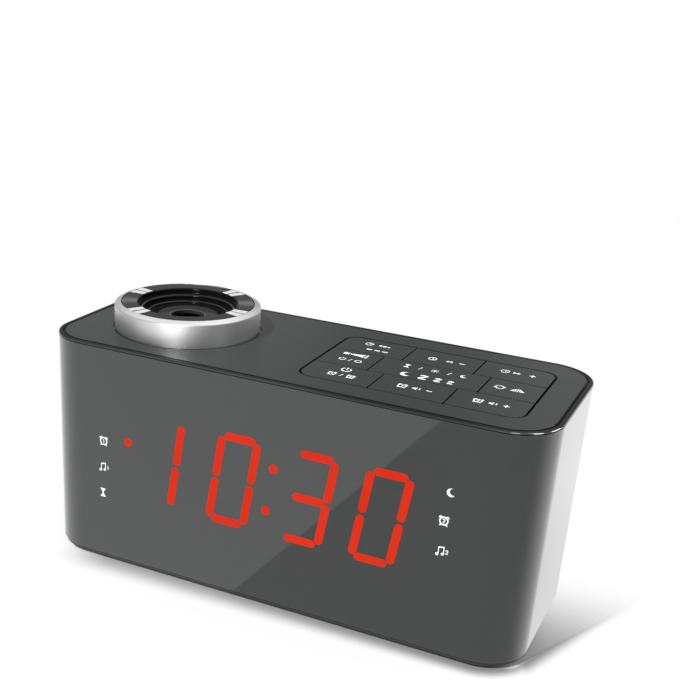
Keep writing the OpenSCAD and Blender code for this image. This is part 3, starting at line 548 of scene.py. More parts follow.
def run_tree(made, tree, values):
    """Runs a geometry tree once on an object with the named values and keeps the result as a plain mesh."""
    modifier = made.modifiers.new(tree.name, "NODES")
    modifier.node_group = tree
    for socket in tree.interface.items_tree:
        if socket.name in values:
            modifier[socket.identifier] = values[socket.name]
    settle(made)


def geometry_tree(name, sockets):
    """An empty geometry tree with a geometry input, the named inputs and a geometry output."""
    tree = bpy.data.node_groups.new(name, "GeometryNodeTree")
    for socket, kind in (("Geometry", "Geometry"), *sockets):
        tree.interface.new_socket(socket, in_out="INPUT", socket_type=f"NodeSocket{kind}")
    tree.interface.new_socket("Geometry", in_out="OUTPUT", socket_type="NodeSocketGeometry")
    return tree, tree.nodes.new("NodeGroupInput").outputs


def maths(tree):
    """Short ways to add nodes to a tree that work on numbers, on vectors and between two ranges."""
    def reckon(operation, a, b=0.0):
        """The result of an operation on numbers."""
        return wire(tree, "ShaderNodeMath", {0: a, 1: b}, operation=operation).outputs[0]

    def measure(operation, a, b=(0.0, 0.0, 0.0)):
        """The results of an operation on vectors."""
        return wire(tree, "ShaderNodeVectorMath", {0: a, 1: b}, operation=operation).outputs

    def ramp(value, start, end, low=0.0, high=1.0, blend="SMOOTHSTEP"):
        """A value carried from one range to another."""
        return wire(tree, "ShaderNodeMapRange", {
            "Value": value, "From Min": start, "From Max": end, "To Min": low, "To Max": high,
        }, interpolation_type=blend).outputs[0]

    return reckon, measure, ramp


def hand_out(tree, mesh, material):
    """Ends a geometry tree: dresses the mesh and gives it out."""
    dressed = wire(tree, "GeometryNodeSetMaterial", {"Geometry": mesh, "Material": material})
    wire(tree, "NodeGroupOutput", {"Geometry": dressed.outputs[0]})
    return tree


def make_grille_slots():
    """Round plugs in a column, each pulled apart sideways until its slot fills the width of a circle."""
    tree, given = geometry_tree("grille_slots", (
        ("Middle", "Vector"), ("Reach", "Float"), ("Slot Radius", "Float"), ("Pitch", "Float"),
        ("Count", "Int"), ("Material", "Material"),
    ))
    reckon, measure, _ = maths(tree)
    rows = reckon("SUBTRACT", given["Count"], 1.0)
    drop = reckon("MULTIPLY", reckon("MULTIPLY", rows, given["Pitch"]), -0.5)
    step = wire(tree, "ShaderNodeCombineXYZ", {"Z": given["Pitch"]}).outputs[0]
    first = wire(tree, "ShaderNodeCombineXYZ", {"Z": drop}).outputs[0]
    column = wire(tree, "GeometryNodeMeshLine", {
        "Count": given["Count"], "Start Location": first, "Offset": step,
    })
    point = tree.nodes.new("GeometryNodeInputPosition").outputs[0]
    place = wire(tree, "ShaderNodeSeparateXYZ", {0: point}).outputs
    reach, height = (reckon("POWER", length, 2.0) for length in (given["Reach"], place["Z"]))
    chord = reckon("SQRT", reckon("SUBTRACT", reach, height))
    half = reckon("SUBTRACT", chord, given["Slot Radius"])
    marked = wire(tree, "GeometryNodeStoreNamedAttribute", {
        "Geometry": column.outputs[0], "Name": "half", "Value": half,
    }, data_type="FLOAT", domain="POINT")
    plugs = wire(tree, "GeometryNodeInstanceOnPoints", {
        "Points": marked.outputs[0], "Instance": given["Geometry"],
    })
    plain = wire(tree, "GeometryNodeRealizeInstances", {"Geometry": plugs.outputs[0]})
    stored = wire(tree, "GeometryNodeInputNamedAttribute", {"Name": "half"}, data_type="FLOAT").outputs[0]
    pull = reckon("MULTIPLY", reckon("SIGN", place["X"]), stored)
    pull = wire(tree, "ShaderNodeCombineXYZ", {"X": pull}).outputs[0]
    shift = measure("ADD", pull, given["Middle"])[0]
    slots = wire(tree, "GeometryNodeSetPosition", {"Geometry": plain.outputs[0], "Offset": shift})
    bare = wire(tree, "GeometryNodeRemoveAttribute", {"Geometry": slots.outputs[0], "Name": "half"})
    return hand_out(tree, bare.outputs[0], given["Material"])


cabinet_gloss = finish(
    "cabinet_gloss", (0.018, 0.018, 0.019), 0.05, 90.0, 0.5e-6, spread=0.06, drift=14.0,
    constants={"IOR": 1.5, "Coat Weight": 1.0, "Coat Roughness": 0.03, "Coat IOR": 1.5},
)
cabinet_seam = cover_high.y + seam_gap
rear_path = seam_edge(1, 1, cabinet_seam) + corner_turn(1, 1)
rear_path += corner_turn(-1, 1)[::-1] + seam_edge(-1, 1, cabinet_seam)[::-1]
rear_shell = piece(
    "rear_shell", [sweep(rear_path, shell_section(cover_low.z, cover_high.z))], cabinet_gloss
)
slot_plug = piece("slot_plug", [cutter(round_hole((0, 0), slot_h / 2, 16), flared())], cabinet_gloss)
run_tree(slot_plug, make_grille_slots(), {
    "Middle": (grille_x, 0.0, grille_z), "Reach": grille_reach, "Slot Radius": slot_h / 2,
    "Pitch": slot_pitch, "Count": slot_count, "Material": cabinet_gloss,
})


def tray_outline(growth):
    """The opening for the cell tray as a function of its growth."""
    half = Vector(tray_hole) / 2
    low, high = Vector(tray_place) - half, Vector(tray_place) + half
    return box_outline(low, high, [edge_ease] * 4, -growth)


hole_plugs = piece("hole_plugs", [
    cutter(round_hole(socket_place, socket_hole_r), flared()),
    cutter(round_hole(gland_place, gland_hole_r), [
        (cabinet_back - wall - cut_past, 0.0), (cabinet_back - gland_seat_d, 0.0),
        (cabinet_back - gland_seat_d, gland_seat_r - gland_hole_r),
        *((depth, growth + gland_seat_r - gland_hole_r) for depth, growth in flared()[1:]),
    ]),
    cutter(tray_outline, flared()),
], cabinet_gloss)
for plugs in (slot_plug, hole_plugs):
    cut = rear_shell.modifiers.new("cut", "BOOLEAN")
    cut.object = plugs
    cut.operation = "DIFFERENCE"
    cut.solver = "EXACT"
settle(rear_shell)
rear_shell.data.set_sharp_from_angle(angle=sharp_turn)
for face in rear_shell.data.polygons:
    if face.normal.y > flat_facing and abs(face.center.x) < half_w - corner_r - flat_margin / 2:
        face.use_smooth = False
for plugs in (slot_plug, hole_plugs):
    bpy.data.objects.remove(plugs)
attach(rear_shell, "body")
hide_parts("rear_cabinet")

# Speaker: a pressed steel basket with a ferrite magnet, a doped paper cone and a foam ring behind the grille.
# Four screws through its ears hold it to the posts of the rear cabinet.
sheet_steel = finish(
    "sheet_steel", (0.46, 0.46, 0.45), 0.35, 1500.0, 4e-6, drift=120.0, constants=bare_metal
)
magnet_ferrite = finish("magnet_ferrite", (0.03, 0.03, 0.032), 0.6, 2200.0, 2e-5, spread=0.25)
cone_paper = finish("cone_paper", (0.022, 0.021, 0.020), 0.8, 3500.0, 3e-5, spread=0.25, drift=220.0)
foam = finish("foam", (0.03, 0.03, 0.03), 0.95, 5000.0, 8e-5, spread=0.3, drift=600.0)
dress(sheet_steel, "speaker_basket")
dress(magnet_ferrite, "speaker_magnet")
dress(cone_paper, "speaker_cone")
dress(foam, "speaker_gasket")
dress(screw_steel, "speaker_screws")

# Main board: the green circuit board on posts of the base, with its chips and two capacitors.
# The low-voltage inlet, the bush for the aerial wire and the sleeve of the cell tray stand in the back wall.
can_blue = finish("can_blue", (0.02, 0.05, 0.22), 0.35, 700.0, 2e-6, drift=160.0)
foot_rubber = finish("foot_rubber", (0.014, 0.014, 0.014), 0.7, 4000.0, 2e-5, spread=0.2, drift=150.0)
contact_brass = finish(
    "contact_brass", (0.72, 0.52, 0.2), 0.3, 1500.0, 3e-6, drift=200.0, constants=bare_metal
)
dress(board_green, "main_board")
dress(part_black, "board_chips", "power_socket", "tray_holder")
dress(can_blue, "board_capacitors")
dress(screw_steel, "main_screws")
dress(foot_rubber, "aerial_gland")
dress(contact_brass, "cell_contact")

# Cell tray: a flat black drawer for the coin cell that keeps the time, pulled out by a nail notch.
# Moulded in the same gloss black as the cabinet; the cell is nickel plated steel.
dress(cabinet_gloss, "cell_tray")
dress(sheet_steel, "coin_cell")

# Top frame: the gloss black rim round the top, moulded in one piece with the ledge that carries the plate.
# It snaps over the edges of both shells, and its outer edge is rounded so that it catches the light.
rim_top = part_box("top_frame")[1].z
rim_w = 1.45 * mm
rim_h = 1.2 * mm
groove_floor = 0.7 * mm
plate_in = 2.3 * mm
lip_w = 0.25 * mm
lip_gap = 0.05 * mm
ledge_in = 4.5 * mm
rim_round = 0.62 * mm
rim_inner_round = 0.2 * mm
rim_joint_round = 0.02 * mm
rim_turn = (0.2, 0.4, 0.8)
rim_side_coat = 0.15
rim_top_coat = 0.15
joint_gap = 0.22 * mm
lap_clear = 0.1 * mm
rim_margin = 0.02 * mm


def facing_up(tree):
    """The upward part of the normal at the point that is shaded."""
    normal = tree.nodes.new("ShaderNodeNewGeometry").outputs["Normal"]
    return wire(tree, "ShaderNodeSeparateXYZ", {0: normal}).outputs["Z"]


gloss_black = finish(
    "gloss_black", (0.0115, 0.0122, 0.012), 0.07, 300.0, 0.5e-6, spread=0.1, drift=20.0,
    constants={"IOR": 1.45, "Specular IOR Level": 0.03, "Coat Roughness": 0.03, "Coat IOR": 2.2},
)
rim_tree = gloss_black.node_tree
rim_up = facing_up(rim_tree)
ramp = maths(rim_tree)[2]
rim_side = ramp(rim_up, 0.0, rim_turn[0], rim_side_coat)
rim_coat = ramp(rim_up, *rim_turn[1:], rim_side, rim_top_coat)
rim_tree.links.new(rim_coat, rim_tree.nodes["Principled BSDF"].inputs["Coat Weight"])
case_ring = corner_turn(-1, -1) + corner_turn(1, -1)[::-1] + corner_turn(1, 1) + corner_turn(-1, 1)[::-1]
rim_foot = rim_top - rim_h
rim_edge = rim_foot + (shell_rise + joint_gap)
groove_z = rim_top - groove_floor
lip_top = rim_top - lip_gap
rim_section = eased([
    (0, rim_edge, rim_joint_round), (0, rim_top, rim_round), (rim_w, rim_top, rim_inner_round),
    (rim_w, groove_z, 0), (plate_in - lip_w, groove_z, 0), (plate_in - lip_w, lip_top, 0),
    (plate_in - lip_gap, lip_top, 0), (plate_in - lip_gap, rim_foot, 0), (ledge_in, rim_foot, 0),
    (ledge_in, rim_foot - rim_h, 0), (lap + lap_clear, rim_foot - rim_h, 0), (lap + lap_clear, rim_edge, 0),
], margin=rim_margin)
top_rim = piece("top_rim", [sweep(case_ring, rim_section, closed=True)], gloss_black)
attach(top_rim, "body")
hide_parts("top_frame")

# Top plate: a satin charcoal panel laid in the top frame, with openings for the keypad and the focus ring.
# Moulded with a very fine texture; its edges and both openings are slightly rounded.
plate_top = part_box("top_plate")[1].z
plate_t = 1.2 * mm
plate_round = 0.1 * mm
keypad_x = 39.2 * mm
keypad_w = 74.0 * mm
keypad_d = 48.0 * mm
keypad_r = 5.5 * mm
ring_x = -50.0 * mm
ring_hole_r = 26.0 * mm


def soft_levels(low, high, ease, steps=4):
    """Levels (move inwards, height) of an upright wall whose top edge is rounded."""
    levels = [(0.0, low), (0.0, high - ease - flat_margin)]
    for turn in swing(0, 90, steps):
        levels.append((ease * (1 - cos(turn)), high - ease * (1 - sin(turn))))
    return levels + [(ease + flat_margin, high)]


def panel(outlines, low, high, ease):
    """A flat panel: the first outline bounds it and the rest are openings, as functions of a move inwards."""
    levels = soft_levels(low, high, ease)
    points, faces, bottoms, tops = [], [], [], []
    for order, outline in enumerate(outlines):
        way = -1 if order else 1
        loops = [[(*point, height) for point in outline(way * inset)] for inset, height in levels]
        count = len(loops[0])
        first = len(points)
        points += [point for loop in loops for point in loop]
        faces += bands(first, count, len(loops))
        bottoms.append(range(first, first + count))
        tops.append(range(len(points) - count, len(points)))
    for rims in (bottoms, tops):
        places = [k for rim in rims for k in rim]
        flat = [[Vector(points[k][:2]) for k in rim] for rim in rims]
        faces += [tuple(places[k] for k in face) for face in tessellate_polygon(flat)]
    return points, faces


def case_outline(inset):
    """The outline of the case moved inwards by the plate's setback and a little more."""
    depth = plate_in + inset
    return [place - way * depth for place, way, _ in case_ring]


def keypad_outline(inset):
    """The keypad's opening, moved inwards."""
    middle, half = Vector((keypad_x, 0)), Vector((keypad_w, keypad_d)) / 2
    return box_outline(middle - half, middle + half, [keypad_r] * 4, inset, 10)


def ring_outline(inset, steps=96):
    """The round opening for the focus ring, moved inwards."""
    return circle((ring_x, 0), ring_hole_r - inset, steps)


satin_black = finish(
    "satin_black", (0.0225, 0.0255, 0.0245), 0.3, 5000.0, 1.5e-6, spread=0.08, drift=25.0,
    constants={"IOR": 1.47},
)
top_panel = piece("top_panel", [panel(
    (case_outline, keypad_outline, ring_outline), plate_top - plate_t, plate_top, plate_round
)], satin_black)
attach(top_panel, "body")
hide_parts("top_plate")

# Keys: nine flush satin caps laid like bricks in the keypad, each moulded in one with its stem and collar.
# They slide in the key guide and press the domes of the silicone mat.
row_d = keypad_d / 3
key_gap = 0.45 * mm
keypad_groove = 0.7 * mm
cap_t = 2.2 * mm
cap_round = 0.22 * mm
cap_corner = 0.35 * mm
stem_r = 3.0 * mm
collar_r = 3.8 * mm
collar_t = 1.0 * mm
middle_half = 12.2 * mm
snooze_half = 18.3 * mm
key_rows = (
    (1, middle_half, ("set_key", "hour_key", "minute_key")),
    (0, snooze_half, ("projection_key", "snooze_key", "flip_key")),
    (-1, middle_half, ("power_key", "alarm_one_key", "alarm_two_key")),
)


def lathe(profile, place=(0.0, 0.0), steps=48):
    """A closed skin from a closed profile (radius, height) turned about an upright axis."""
    stations = [(Vector(place), -way, 0.0) for way in circle((0, 0), 1.0, steps)]
    return sweep(stations, profile, closed=True)


def key_skins(row, column, half, node):
    """Cap, stems and collars of one key, from its row, its column and the half width of the middle key."""
    low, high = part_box(node)
    edges = (-keypad_w / 2 + keypad_groove, -half, half, keypad_w / 2 - keypad_groove)
    left = edges[column] + (key_gap / 2 if column else 0)
    right = edges[column + 1] - (key_gap / 2 if column < 2 else 0)
    depth = keypad_d / 2 - keypad_groove
    near = max((row - 0.5) * row_d + key_gap / 2, -depth)
    far = min((row + 0.5) * row_d - key_gap / 2, depth)
    outer = keypad_r - keypad_groove
    radii = [outer if place else cap_corner for place in (
        column == 0 and row < 0, column == 2 and row < 0, column == 2 and row > 0, column == 0 and row > 0
    )]
    corners = Vector((keypad_x + left, near)), Vector((keypad_x + right, far))
    foot = high.z - cap_t
    cap = loft([
        [(*point, height) for point in box_outline(*corners, radii, inset)]
        for inset, height in soft_levels(foot, high.z, cap_round)
    ])
    wide = column == 1 and row == 0
    cell = (-keypad_w / 2, -half, half, keypad_w / 2)
    middle = keypad_x + (cell[column] + cell[column + 1]) / 2
    stem = [
        (0, low.z), (collar_r, low.z), (collar_r, low.z + collar_t), (stem_r, low.z + collar_t),
        (stem_r, foot), (0, foot),
    ]
    shifts = (-half / 2, half / 2) if wide else (0.0,)
    return [cap] + [lathe(stem, (middle + shift, row * row_d), 32) for shift in shifts]


for row, half, nodes in key_rows:
    for column, node in enumerate(nodes):
        cap = piece(node.replace("_key", "_cap"), key_skins(row, column, half, node), satin_black)
        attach(cap, node)
        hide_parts(node)

# Key signs: small white signs screen printed on the caps, one group on each key.
# Each group rides on its own key, a hair above the cap.
key_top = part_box("set_key")[1].z
sign_scale = 0.88


def on_key(point, rise):
    """A point of a flat shape, across and back, laid on the keys."""
    return Vector((keypad_x + point[0], point[1], key_top + rise))


def clock_face(hand):
    """Round clock with one hand upright and one at an angle."""
    tip = (0.75 * sin(radians(hand)), 0.75 * cos(radians(hand)))
    return [arc((0, 0), 1.15, width=0.3), line(tip, (0, 0), (0, 0.8), width=0.26)]


def arrows(way):
    """Two filled arrow heads that point along the row."""
    heads = [(way * tip, way * (tip - 1.1)) for tip in (0.05, 1.3)]
    return [patch((tip, 0), (tail, 0.85), (tail, -0.85)) for tip, tail in heads]


minus = [line((-0.7, 0), (0.7, 0), width=0.36)]
plus = minus + [line((0, 0.2), (0, 0.75), width=0.36), line((0, -0.75), (0, -0.2), width=0.36)]
slash = [line((-0.4, -1.3), (0.4, 1.3), width=0.34)]
ring = [arc((0, 0), 1.35, width=0.42)]
power = [arc((0, 0), 1.35, 125, 415, width=0.42), line((0, 0.35), (0, 1.75), width=0.42)]
sun = [disc((0, 0), 0.5, 12)]
sun += [line(0.8 * way, 1.25 * way, width=0.26) for way in circle((0, 0), 1.0, 8)]
lamp_sign = [
    patch((-3.6, -0.6), (-2.2, -0.6), (-2.2, 0.6), (-3.6, 0.6)),
    patch((-2.0, -0.18), (1.6, -0.95), (1.6, 0.95), (-2.0, 0.18)),
    line((2.2, -1.3), (2.2, 1.3), width=0.36),
]
turn_over = [arc((0, 0), 1.2, 20, 160, width=0.34), patch((1.75, 0.5), (0.6, 0.55), (1.25, -0.35))]
turn_over += [([-point for point in points], faces) for points, faces in turn_over]
horn = [
    patch((-1.1, -0.4), (-0.5, -0.4), (0.2, -1.0), (0.2, 1.0), (-0.5, 0.4), (-1.1, 0.4)),
    arc((0.1, 0), 0.95, -45, 45, width=0.28, steps=8),
]
zigzag = [
    line((-1.2, 1.4), (1.0, 1.4), width=0.62), line((1.0, 1.35), (-1.0, -1.35), width=0.7),
    line((-1.0, -1.4), (1.2, -1.4), width=0.62),
]
dashes = [rounded_stroke((step * 3.2, 0), 2.4, 0.8, 0.0) for step in (-1, 0, 1)]
mirrored = [patch((side * 0.5, -1.2), (side * 2.4, -1.2), (side * 0.5, 1.2)) for side in (-1, 1)]
mirrored += [line((0, -1.5), (0, 1.5), width=0.3)]
key_signs = {
    "set_key": (
        (clock_face(90), -27.4, 18.0, 1.3), (arrows(-1), -22.9, 18.0, 1.05), (arrows(1), -20.9, 18.0, 1.05),
        (dashes, -22.6, 12.4, 1.0),
    ),
    "hour_key": (
        (clock_face(125), -3.8, 15.2, 1.3), (arrows(-1), 2.0, 15.2, 1.15), (minus, 6.4, 15.2, 1.6),
    ),
    "minute_key": (
        (clock_face(60), 20.6, 16.4, 1.3), (arrows(1), 24.4, 16.4, 1.15), (plus, 29.6, 16.4, 1.6),
    ),
    "projection_key": (
        (lamp_sign, -26.2, 4.2, 1.6), (power, -29.4, -1.8, 0.9), (slash, -26.6, -1.8, 1.0),
        (ring, -23.8, -1.8, 0.9),
    ),
    "snooze_key": (
        (hourglass, -8.6, 3.4, 1.1), (slash, -4.0, 3.4, 1.0), (sun, 0.9, 3.4, 1.2),
        (slash, 5.8, 3.4, 1.0), (moon, 10.6, 3.4, 1.0),
        (moon, -6.2, -4.6, 1.5), (zigzag, -0.4, -4.6, 1.3), (zigzag, 4.4, -4.6, 1.1),
        (zigzag, 8.6, -4.6, 0.9),
    ),
    "flip_key": ((turn_over, 23.2, 0.4, 1.3), (mirrored, 29.0, 0.4, 1.1)),
    "power_key": (
        (power, -23.9, -11.6, 1.3), (alarm_clock(1), -26.6, -17.2, 1.0), (slash, -23.4, -17.2, 1.0),
        (alarm_clock(2), -20.2, -17.2, 1.0),
    ),
    "alarm_one_key": (
        (alarm_clock(1), -3.4, -15.8, 1.15), (horn, 1.2, -15.8, 1.3), (minus, 5.4, -15.8, 1.5),
    ),
    "alarm_two_key": (
        (alarm_clock(2), 20.8, -15.4, 1.15), (horn, 25.4, -15.4, 1.3), (plus, 29.6, -15.4, 1.5),
    ),
}
for node, signs in key_signs.items():
    flats = []
    for sign, across, back, size in signs:
        flats += placed(sign, across, back, size * sign_scale)
    prints = piece(node.replace("_key", "_sign"), raised(flats, on_key, print_lift), print_white)
    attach(prints, node)

# Keypad works: the guide plate with a bore for each stem, the silicone mat with its domes, and the key board.
# They hang from posts of the top plate on four screws, and a flat ribbon joins them to the main board.
mat_silicone = finish("mat_silicone", (0.32, 0.32, 0.31), 0.5, 900.0, 4e-6)
dress(part_black, "key_guide")
dress(mat_silicone, "key_mat")
dress(board_green, "key_board")
dress(screw_steel, "key_screws")
dress(ribbon_grey, "key_ribbon")

# Projector: a black tube under the ring with the lamp, the condenser and the slide of the time inside it.
# The tube is screwed to posts of the top plate, and the lamp board to the foot of the tube.
slide_glass = finish(
    "slide_glass", (0.10, 0.012, 0.012), 0.1, 300.0, 1e-6, constants={"Transmission Weight": 0.6, "IOR": 1.5}
)
lens_glass = finish(
    "lens_glass", (0.86, 0.88, 0.90), 0.02, 200.0, 0.2e-6, spread=0.03,
    constants={"Transmission Weight": 1.0, "IOR": 1.49},
)
dress(part_black, "projector_housing")
dress(screw_steel, "projector_screws", "lamp_screws")
dress(slide_glass, "time_slide")
dress(lens_glass, "condenser_lens")
dress(board_green, "lamp_board")
dress(lit_red, "projector_lamp")

# Lens barrel: the black tube that carries the lens, with two pins that follow the channel of the ring.
# The lens is a clear moulded dome seated in its mouth.
lens_low, lens_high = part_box("projector_lens")
lens_r = 6.6 * mm
lens_dome = 1.0 * mm
dome_r = (lens_r ** 2 + lens_dome ** 2) / (2 * lens_dome)
dome_steps = 8
dome = [(0.0, lens_low.z), (lens_r, lens_low.z)]
for step in range(dome_steps + 1):
    radius = lens_r * (1 - step / dome_steps)
    dome.append((radius, lens_high.z - dome_r + sqrt(dome_r ** 2 - radius ** 2)))
lens = piece("lens", [lathe(dome, (ring_x, 0), 64)], lens_glass)
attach(lens, "barrel")
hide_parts("projector_lens")
dress(part_black, "lens_barrel")

# Focus ring: the silver ring that is turned to focus the lens, moulded and coated in satin silver.
# It turns on the seat of the projector tube; its wide bevel is painted lighter and its band darker, as
# painted light and shade that follow the slope of the surface.
ring_low, ring_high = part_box("focus_ring")
ring_r = 25.5 * mm
ring_in = 23.3 * mm
seat_in = 22.3 * mm
flange_r = 27.0 * mm
flange_t = 1.4 * mm
bevel_w = 2.0 * mm
bevel_h = 0.8 * mm
seat_drop = 1.7 * mm
flange_round = 0.2 * mm
bevel_round = 0.55 * mm
bevel_inner_round = 0.12 * mm
ring_margin = 0.02 * mm
painted_slope_turn = (0.3, 0.8)
band_painted_shade = 0.85
bevel_painted_light = 1.06
ring_profile = eased([
    (seat_in, ring_low.z, 0), (flange_r, ring_low.z, 0), (flange_r, ring_low.z + flange_t, flange_round),
    (ring_r, ring_low.z + flange_t, 0), (ring_r, ring_high.z - bevel_h, bevel_round),
    (ring_r - bevel_w, ring_high.z, bevel_inner_round), (ring_in, ring_high.z, 0),
    (ring_in, ring_high.z - seat_drop, 0), (seat_in, ring_high.z - seat_drop, 0),
], margin=ring_margin)
satin_silver = finish(
    "satin_silver", (0.9, 0.9, 0.9), 0.4, 2600.0, 1e-6, spread=0.03, drift=60.0, constants=bare_metal
)
silver_tree = satin_silver.node_tree
silver_colour = silver_tree.nodes["Principled BSDF"].inputs["Base Color"]
_, measure, ramp = maths(silver_tree)
# Painted light and shade: the base colour is darkened on the upright band and lightened on the bevel by how
# far the surface faces up.
painted_slope_tone = ramp(facing_up(silver_tree), *painted_slope_turn, band_painted_shade, bevel_painted_light, "LINEAR")
silver_with_painted_shade = measure("MULTIPLY", silver_colour.links[0].from_socket, painted_slope_tone)[0]
silver_tree.links.new(silver_with_painted_shade, silver_colour)
silver_ring = piece("silver_ring", [lathe(ring_profile, (ring_x, 0), 160)], satin_silver)
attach(silver_ring, "ring")
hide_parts("focus_ring")

# Ring bezel: the gloss black top of the ring, a flat border and three steps down to the window of the lens.
# Moulded in one with the sleeve that drives the lens; every step has a small round edge.
bezel_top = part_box("ring_bezel")[1].z
# Two pale sheens on the border are painted highlights in the base colour, so they turn with the ring.
painted_sheen_turns = (radians(-151), radians(30))
painted_sheen_narrow = 90.0
painted_sheen_grey = 0.1
border_in = 17.3 * mm
disc_out = 10.5 * mm
disc_grey = 0.032
bezel_grey = 0.005
coat_reach = 25.0
coat_bands = (
    (0.0, 1.0), (coat_reach, 1.0), (6.3, 0.0), (13.3, 1.0), (14.0, 0.0), (15.4, 1.0), (16.1, 0.0),
    (17.3, 0.3),
)
bezel_margin = 0.03 * mm
bezel_corners = (
    (23.0, 0.0, 0.15), (17.6, 0.0, 0.5), (17.4, -1.85, 0.1), (15.5, -1.85, 0.5), (15.3, -3.52, 0.1),
    (13.4, -3.52, 0.45), (13.4, -4.4, 0.1), (5.6, -4.4, 0.45), (5.6, -5.8, 0), (11.3, -5.8, 0),
    (11.3, -6.1, 0), (12.5, -6.1, 0), (12.5, -10.7, 0), (11.3, -10.7, 0), (11.3, -11.7, 0),
    (13.1, -11.7, 0), (13.1, -5.8, 0), (16.9, -5.8, 0), (16.9, -3.25, 0), (19.0, -3.25, 0),
    (19.0, -1.6, 0), (23.2, -1.6, 0), (23.2, -0.8, 0), (23.0, -0.8, 0),
)
bezel_profile = eased([
    (radius * mm, bezel_top + drop * mm, ease * mm) for radius, drop, ease in bezel_corners
], margin=bezel_margin)


def make_bezel_black():
    """Gloss on the border and along the step edges, a dull black on the treads between them, and two painted
    sheens on the border.
    """
    material = finish(
        "bezel_black", (0.006, 0.006, 0.0065), 0.12, 300.0, 0.5e-6, drift=20.0,
        constants={"Specular IOR Level": 0.06, "Coat Roughness": 0.06, "Coat IOR": 1.42},
    )
    tree = material.node_tree
    place = tree.nodes.new("ShaderNodeTexCoord").outputs["Object"]
    reckon, measure, ramp = maths(tree)
    off = measure("SUBTRACT", place, (ring_x, 0.0, bezel_top))[0]
    reach = measure("LENGTH", measure("MULTIPLY", off, (1.0, 1.0, 0.0))[0])["Value"]
    coats = wire(tree, "ShaderNodeValToRGB", {"Fac": ramp(reach, 0.0, coat_reach * mm, blend="LINEAR")})
    coats.color_ramp.interpolation = "CONSTANT"
    set_stops(coats, [(radius / coat_reach, [coat] * 3) for radius, coat in coat_bands])
    shader = tree.nodes["Principled BSDF"]
    tree.links.new(coats.outputs["Color"], shader.inputs["Coat Weight"])
    parts = wire(tree, "ShaderNodeSeparateXYZ", {0: off}).outputs
    angle = reckon("ARCTAN2", parts["Y"], parts["X"])
    # Painted sheen: two narrow lobes of grey in the base colour at fixed angles, standing in for highlights.
    sheen = 0.0
    for middle in painted_sheen_turns:
        near = reckon("MAXIMUM", reckon("COSINE", reckon("SUBTRACT", angle, middle)))
        sheen = reckon("ADD", reckon("POWER", near, painted_sheen_narrow), sheen)
    border = reckon("MULTIPLY", sheen, reckon("GREATER_THAN", reach, border_in))
    disc_share = reckon("MULTIPLY", reckon("LESS_THAN", reach, disc_out), disc_grey)
    grey = reckon("ADD", reckon("ADD", reckon("MULTIPLY", border, painted_sheen_grey), disc_share), bezel_grey)
    tree.links.new(grey, shader.inputs["Base Color"])
    return material


black_bezel = piece("black_bezel", [lathe(bezel_profile, (ring_x, 0), 160)], make_bezel_black())
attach(black_bezel, "ring")
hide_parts("ring_bezel")

# Bright strips: four pairs of plated strips let onto the border of the bezel.
# Thin stampings with a soft edge and a bright satin plating.
stripe_in = 17.7 * mm
stripe_out = 23.1 * mm
stripe_turn = 7.6
stripe_apart = 9.8
stripe_angles = (-114.0, -6.0, 67.0, 174.0)
stripe_low, stripe_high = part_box("ring_stripes")
stripe_ease = 0.04 * mm
stripe_margin = 0.01 * mm


def strip_skin(middle, steps=8):
    """One strip of the border: a low section with soft edges, carried through its angle."""
    section = eased([
        (stripe_in, stripe_low.z, 0), (stripe_out, stripe_low.z, 0),
        (stripe_out, stripe_high.z, stripe_ease), (stripe_in, stripe_high.z, stripe_ease),
    ], margin=stripe_margin)
    turns = swing(middle - stripe_turn / 2, middle + stripe_turn / 2, steps)
    return sweep([(Vector((ring_x, 0)), -toward(turn), 0.0) for turn in turns], section)


bright_trim = finish(
    "bright_trim", (0.92, 0.92, 0.92), 0.25, 1500.0, 0.5e-6, spread=0.03, drift=150.0,
    constants={"Metallic": 0.35},
)
strips = piece("bright_strips", [
    strip_skin(angle + side * stripe_apart / 2) for angle in stripe_angles for side in (-1, 1)
], bright_trim)
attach(strips, "ring")
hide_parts("ring_stripes")

# Base plate: the black floor of the case with an upstand inside the shells and posts for the main board.
# Moulded in plain black; four screws through it close the case.
dress(part_black, "base_plate")

# Rubber feet: four soft black discs glued into shallow seats of the base plate.
# Moulded with a rounded tread edge.
foot_low, foot_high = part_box("rubber_feet")
foot_r = 5.0 * mm
foot_span = (2 * (foot_high.x - foot_r), 2 * (foot_high.y - foot_r))
foot_round = 0.4 * mm


def make_corner_set():
    """Copies of one part at the corners of a rectangle, each turned by a chance angle."""
    tree, given = geometry_tree("corner_set", (
        ("Span X", "Float"), ("Span Y", "Float"), ("Turn", "Float"), ("Material", "Material"),
    ))
    grid = wire(tree, "GeometryNodeMeshGrid", {
        "Size X": given["Span X"], "Size Y": given["Span Y"], "Vertices X": 2, "Vertices Y": 2,
    })
    chance = wire(tree, "FunctionNodeRandomValue", {2: 0.0, 3: given["Turn"], "Seed": 7}, data_type="FLOAT")
    turn = wire(tree, "ShaderNodeCombineXYZ", {"Z": chance.outputs[1]}).outputs[0]
    copies = wire(tree, "GeometryNodeInstanceOnPoints", {
        "Points": grid.outputs[0], "Instance": given["Geometry"], "Rotation": turn,
    })
    plain = wire(tree, "GeometryNodeRealizeInstances", {"Geometry": copies.outputs[0]})
    return hand_out(tree, plain.outputs[0], given["Material"])


corner_set = make_corner_set()
foot_profile = eased([
    (0, foot_low.z, 0), (foot_r, foot_low.z, foot_round), (foot_r, foot_high.z, 0), (0, foot_high.z, 0),
])
feet = piece("feet", [lathe(foot_profile)], foot_rubber)
run_tree(feet, corner_set, {
    "Span X": foot_span[0], "Span Y": foot_span[1], "Turn": 0.0, "Material": foot_rubber,
})
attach(feet, "body")
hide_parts("rubber_feet")

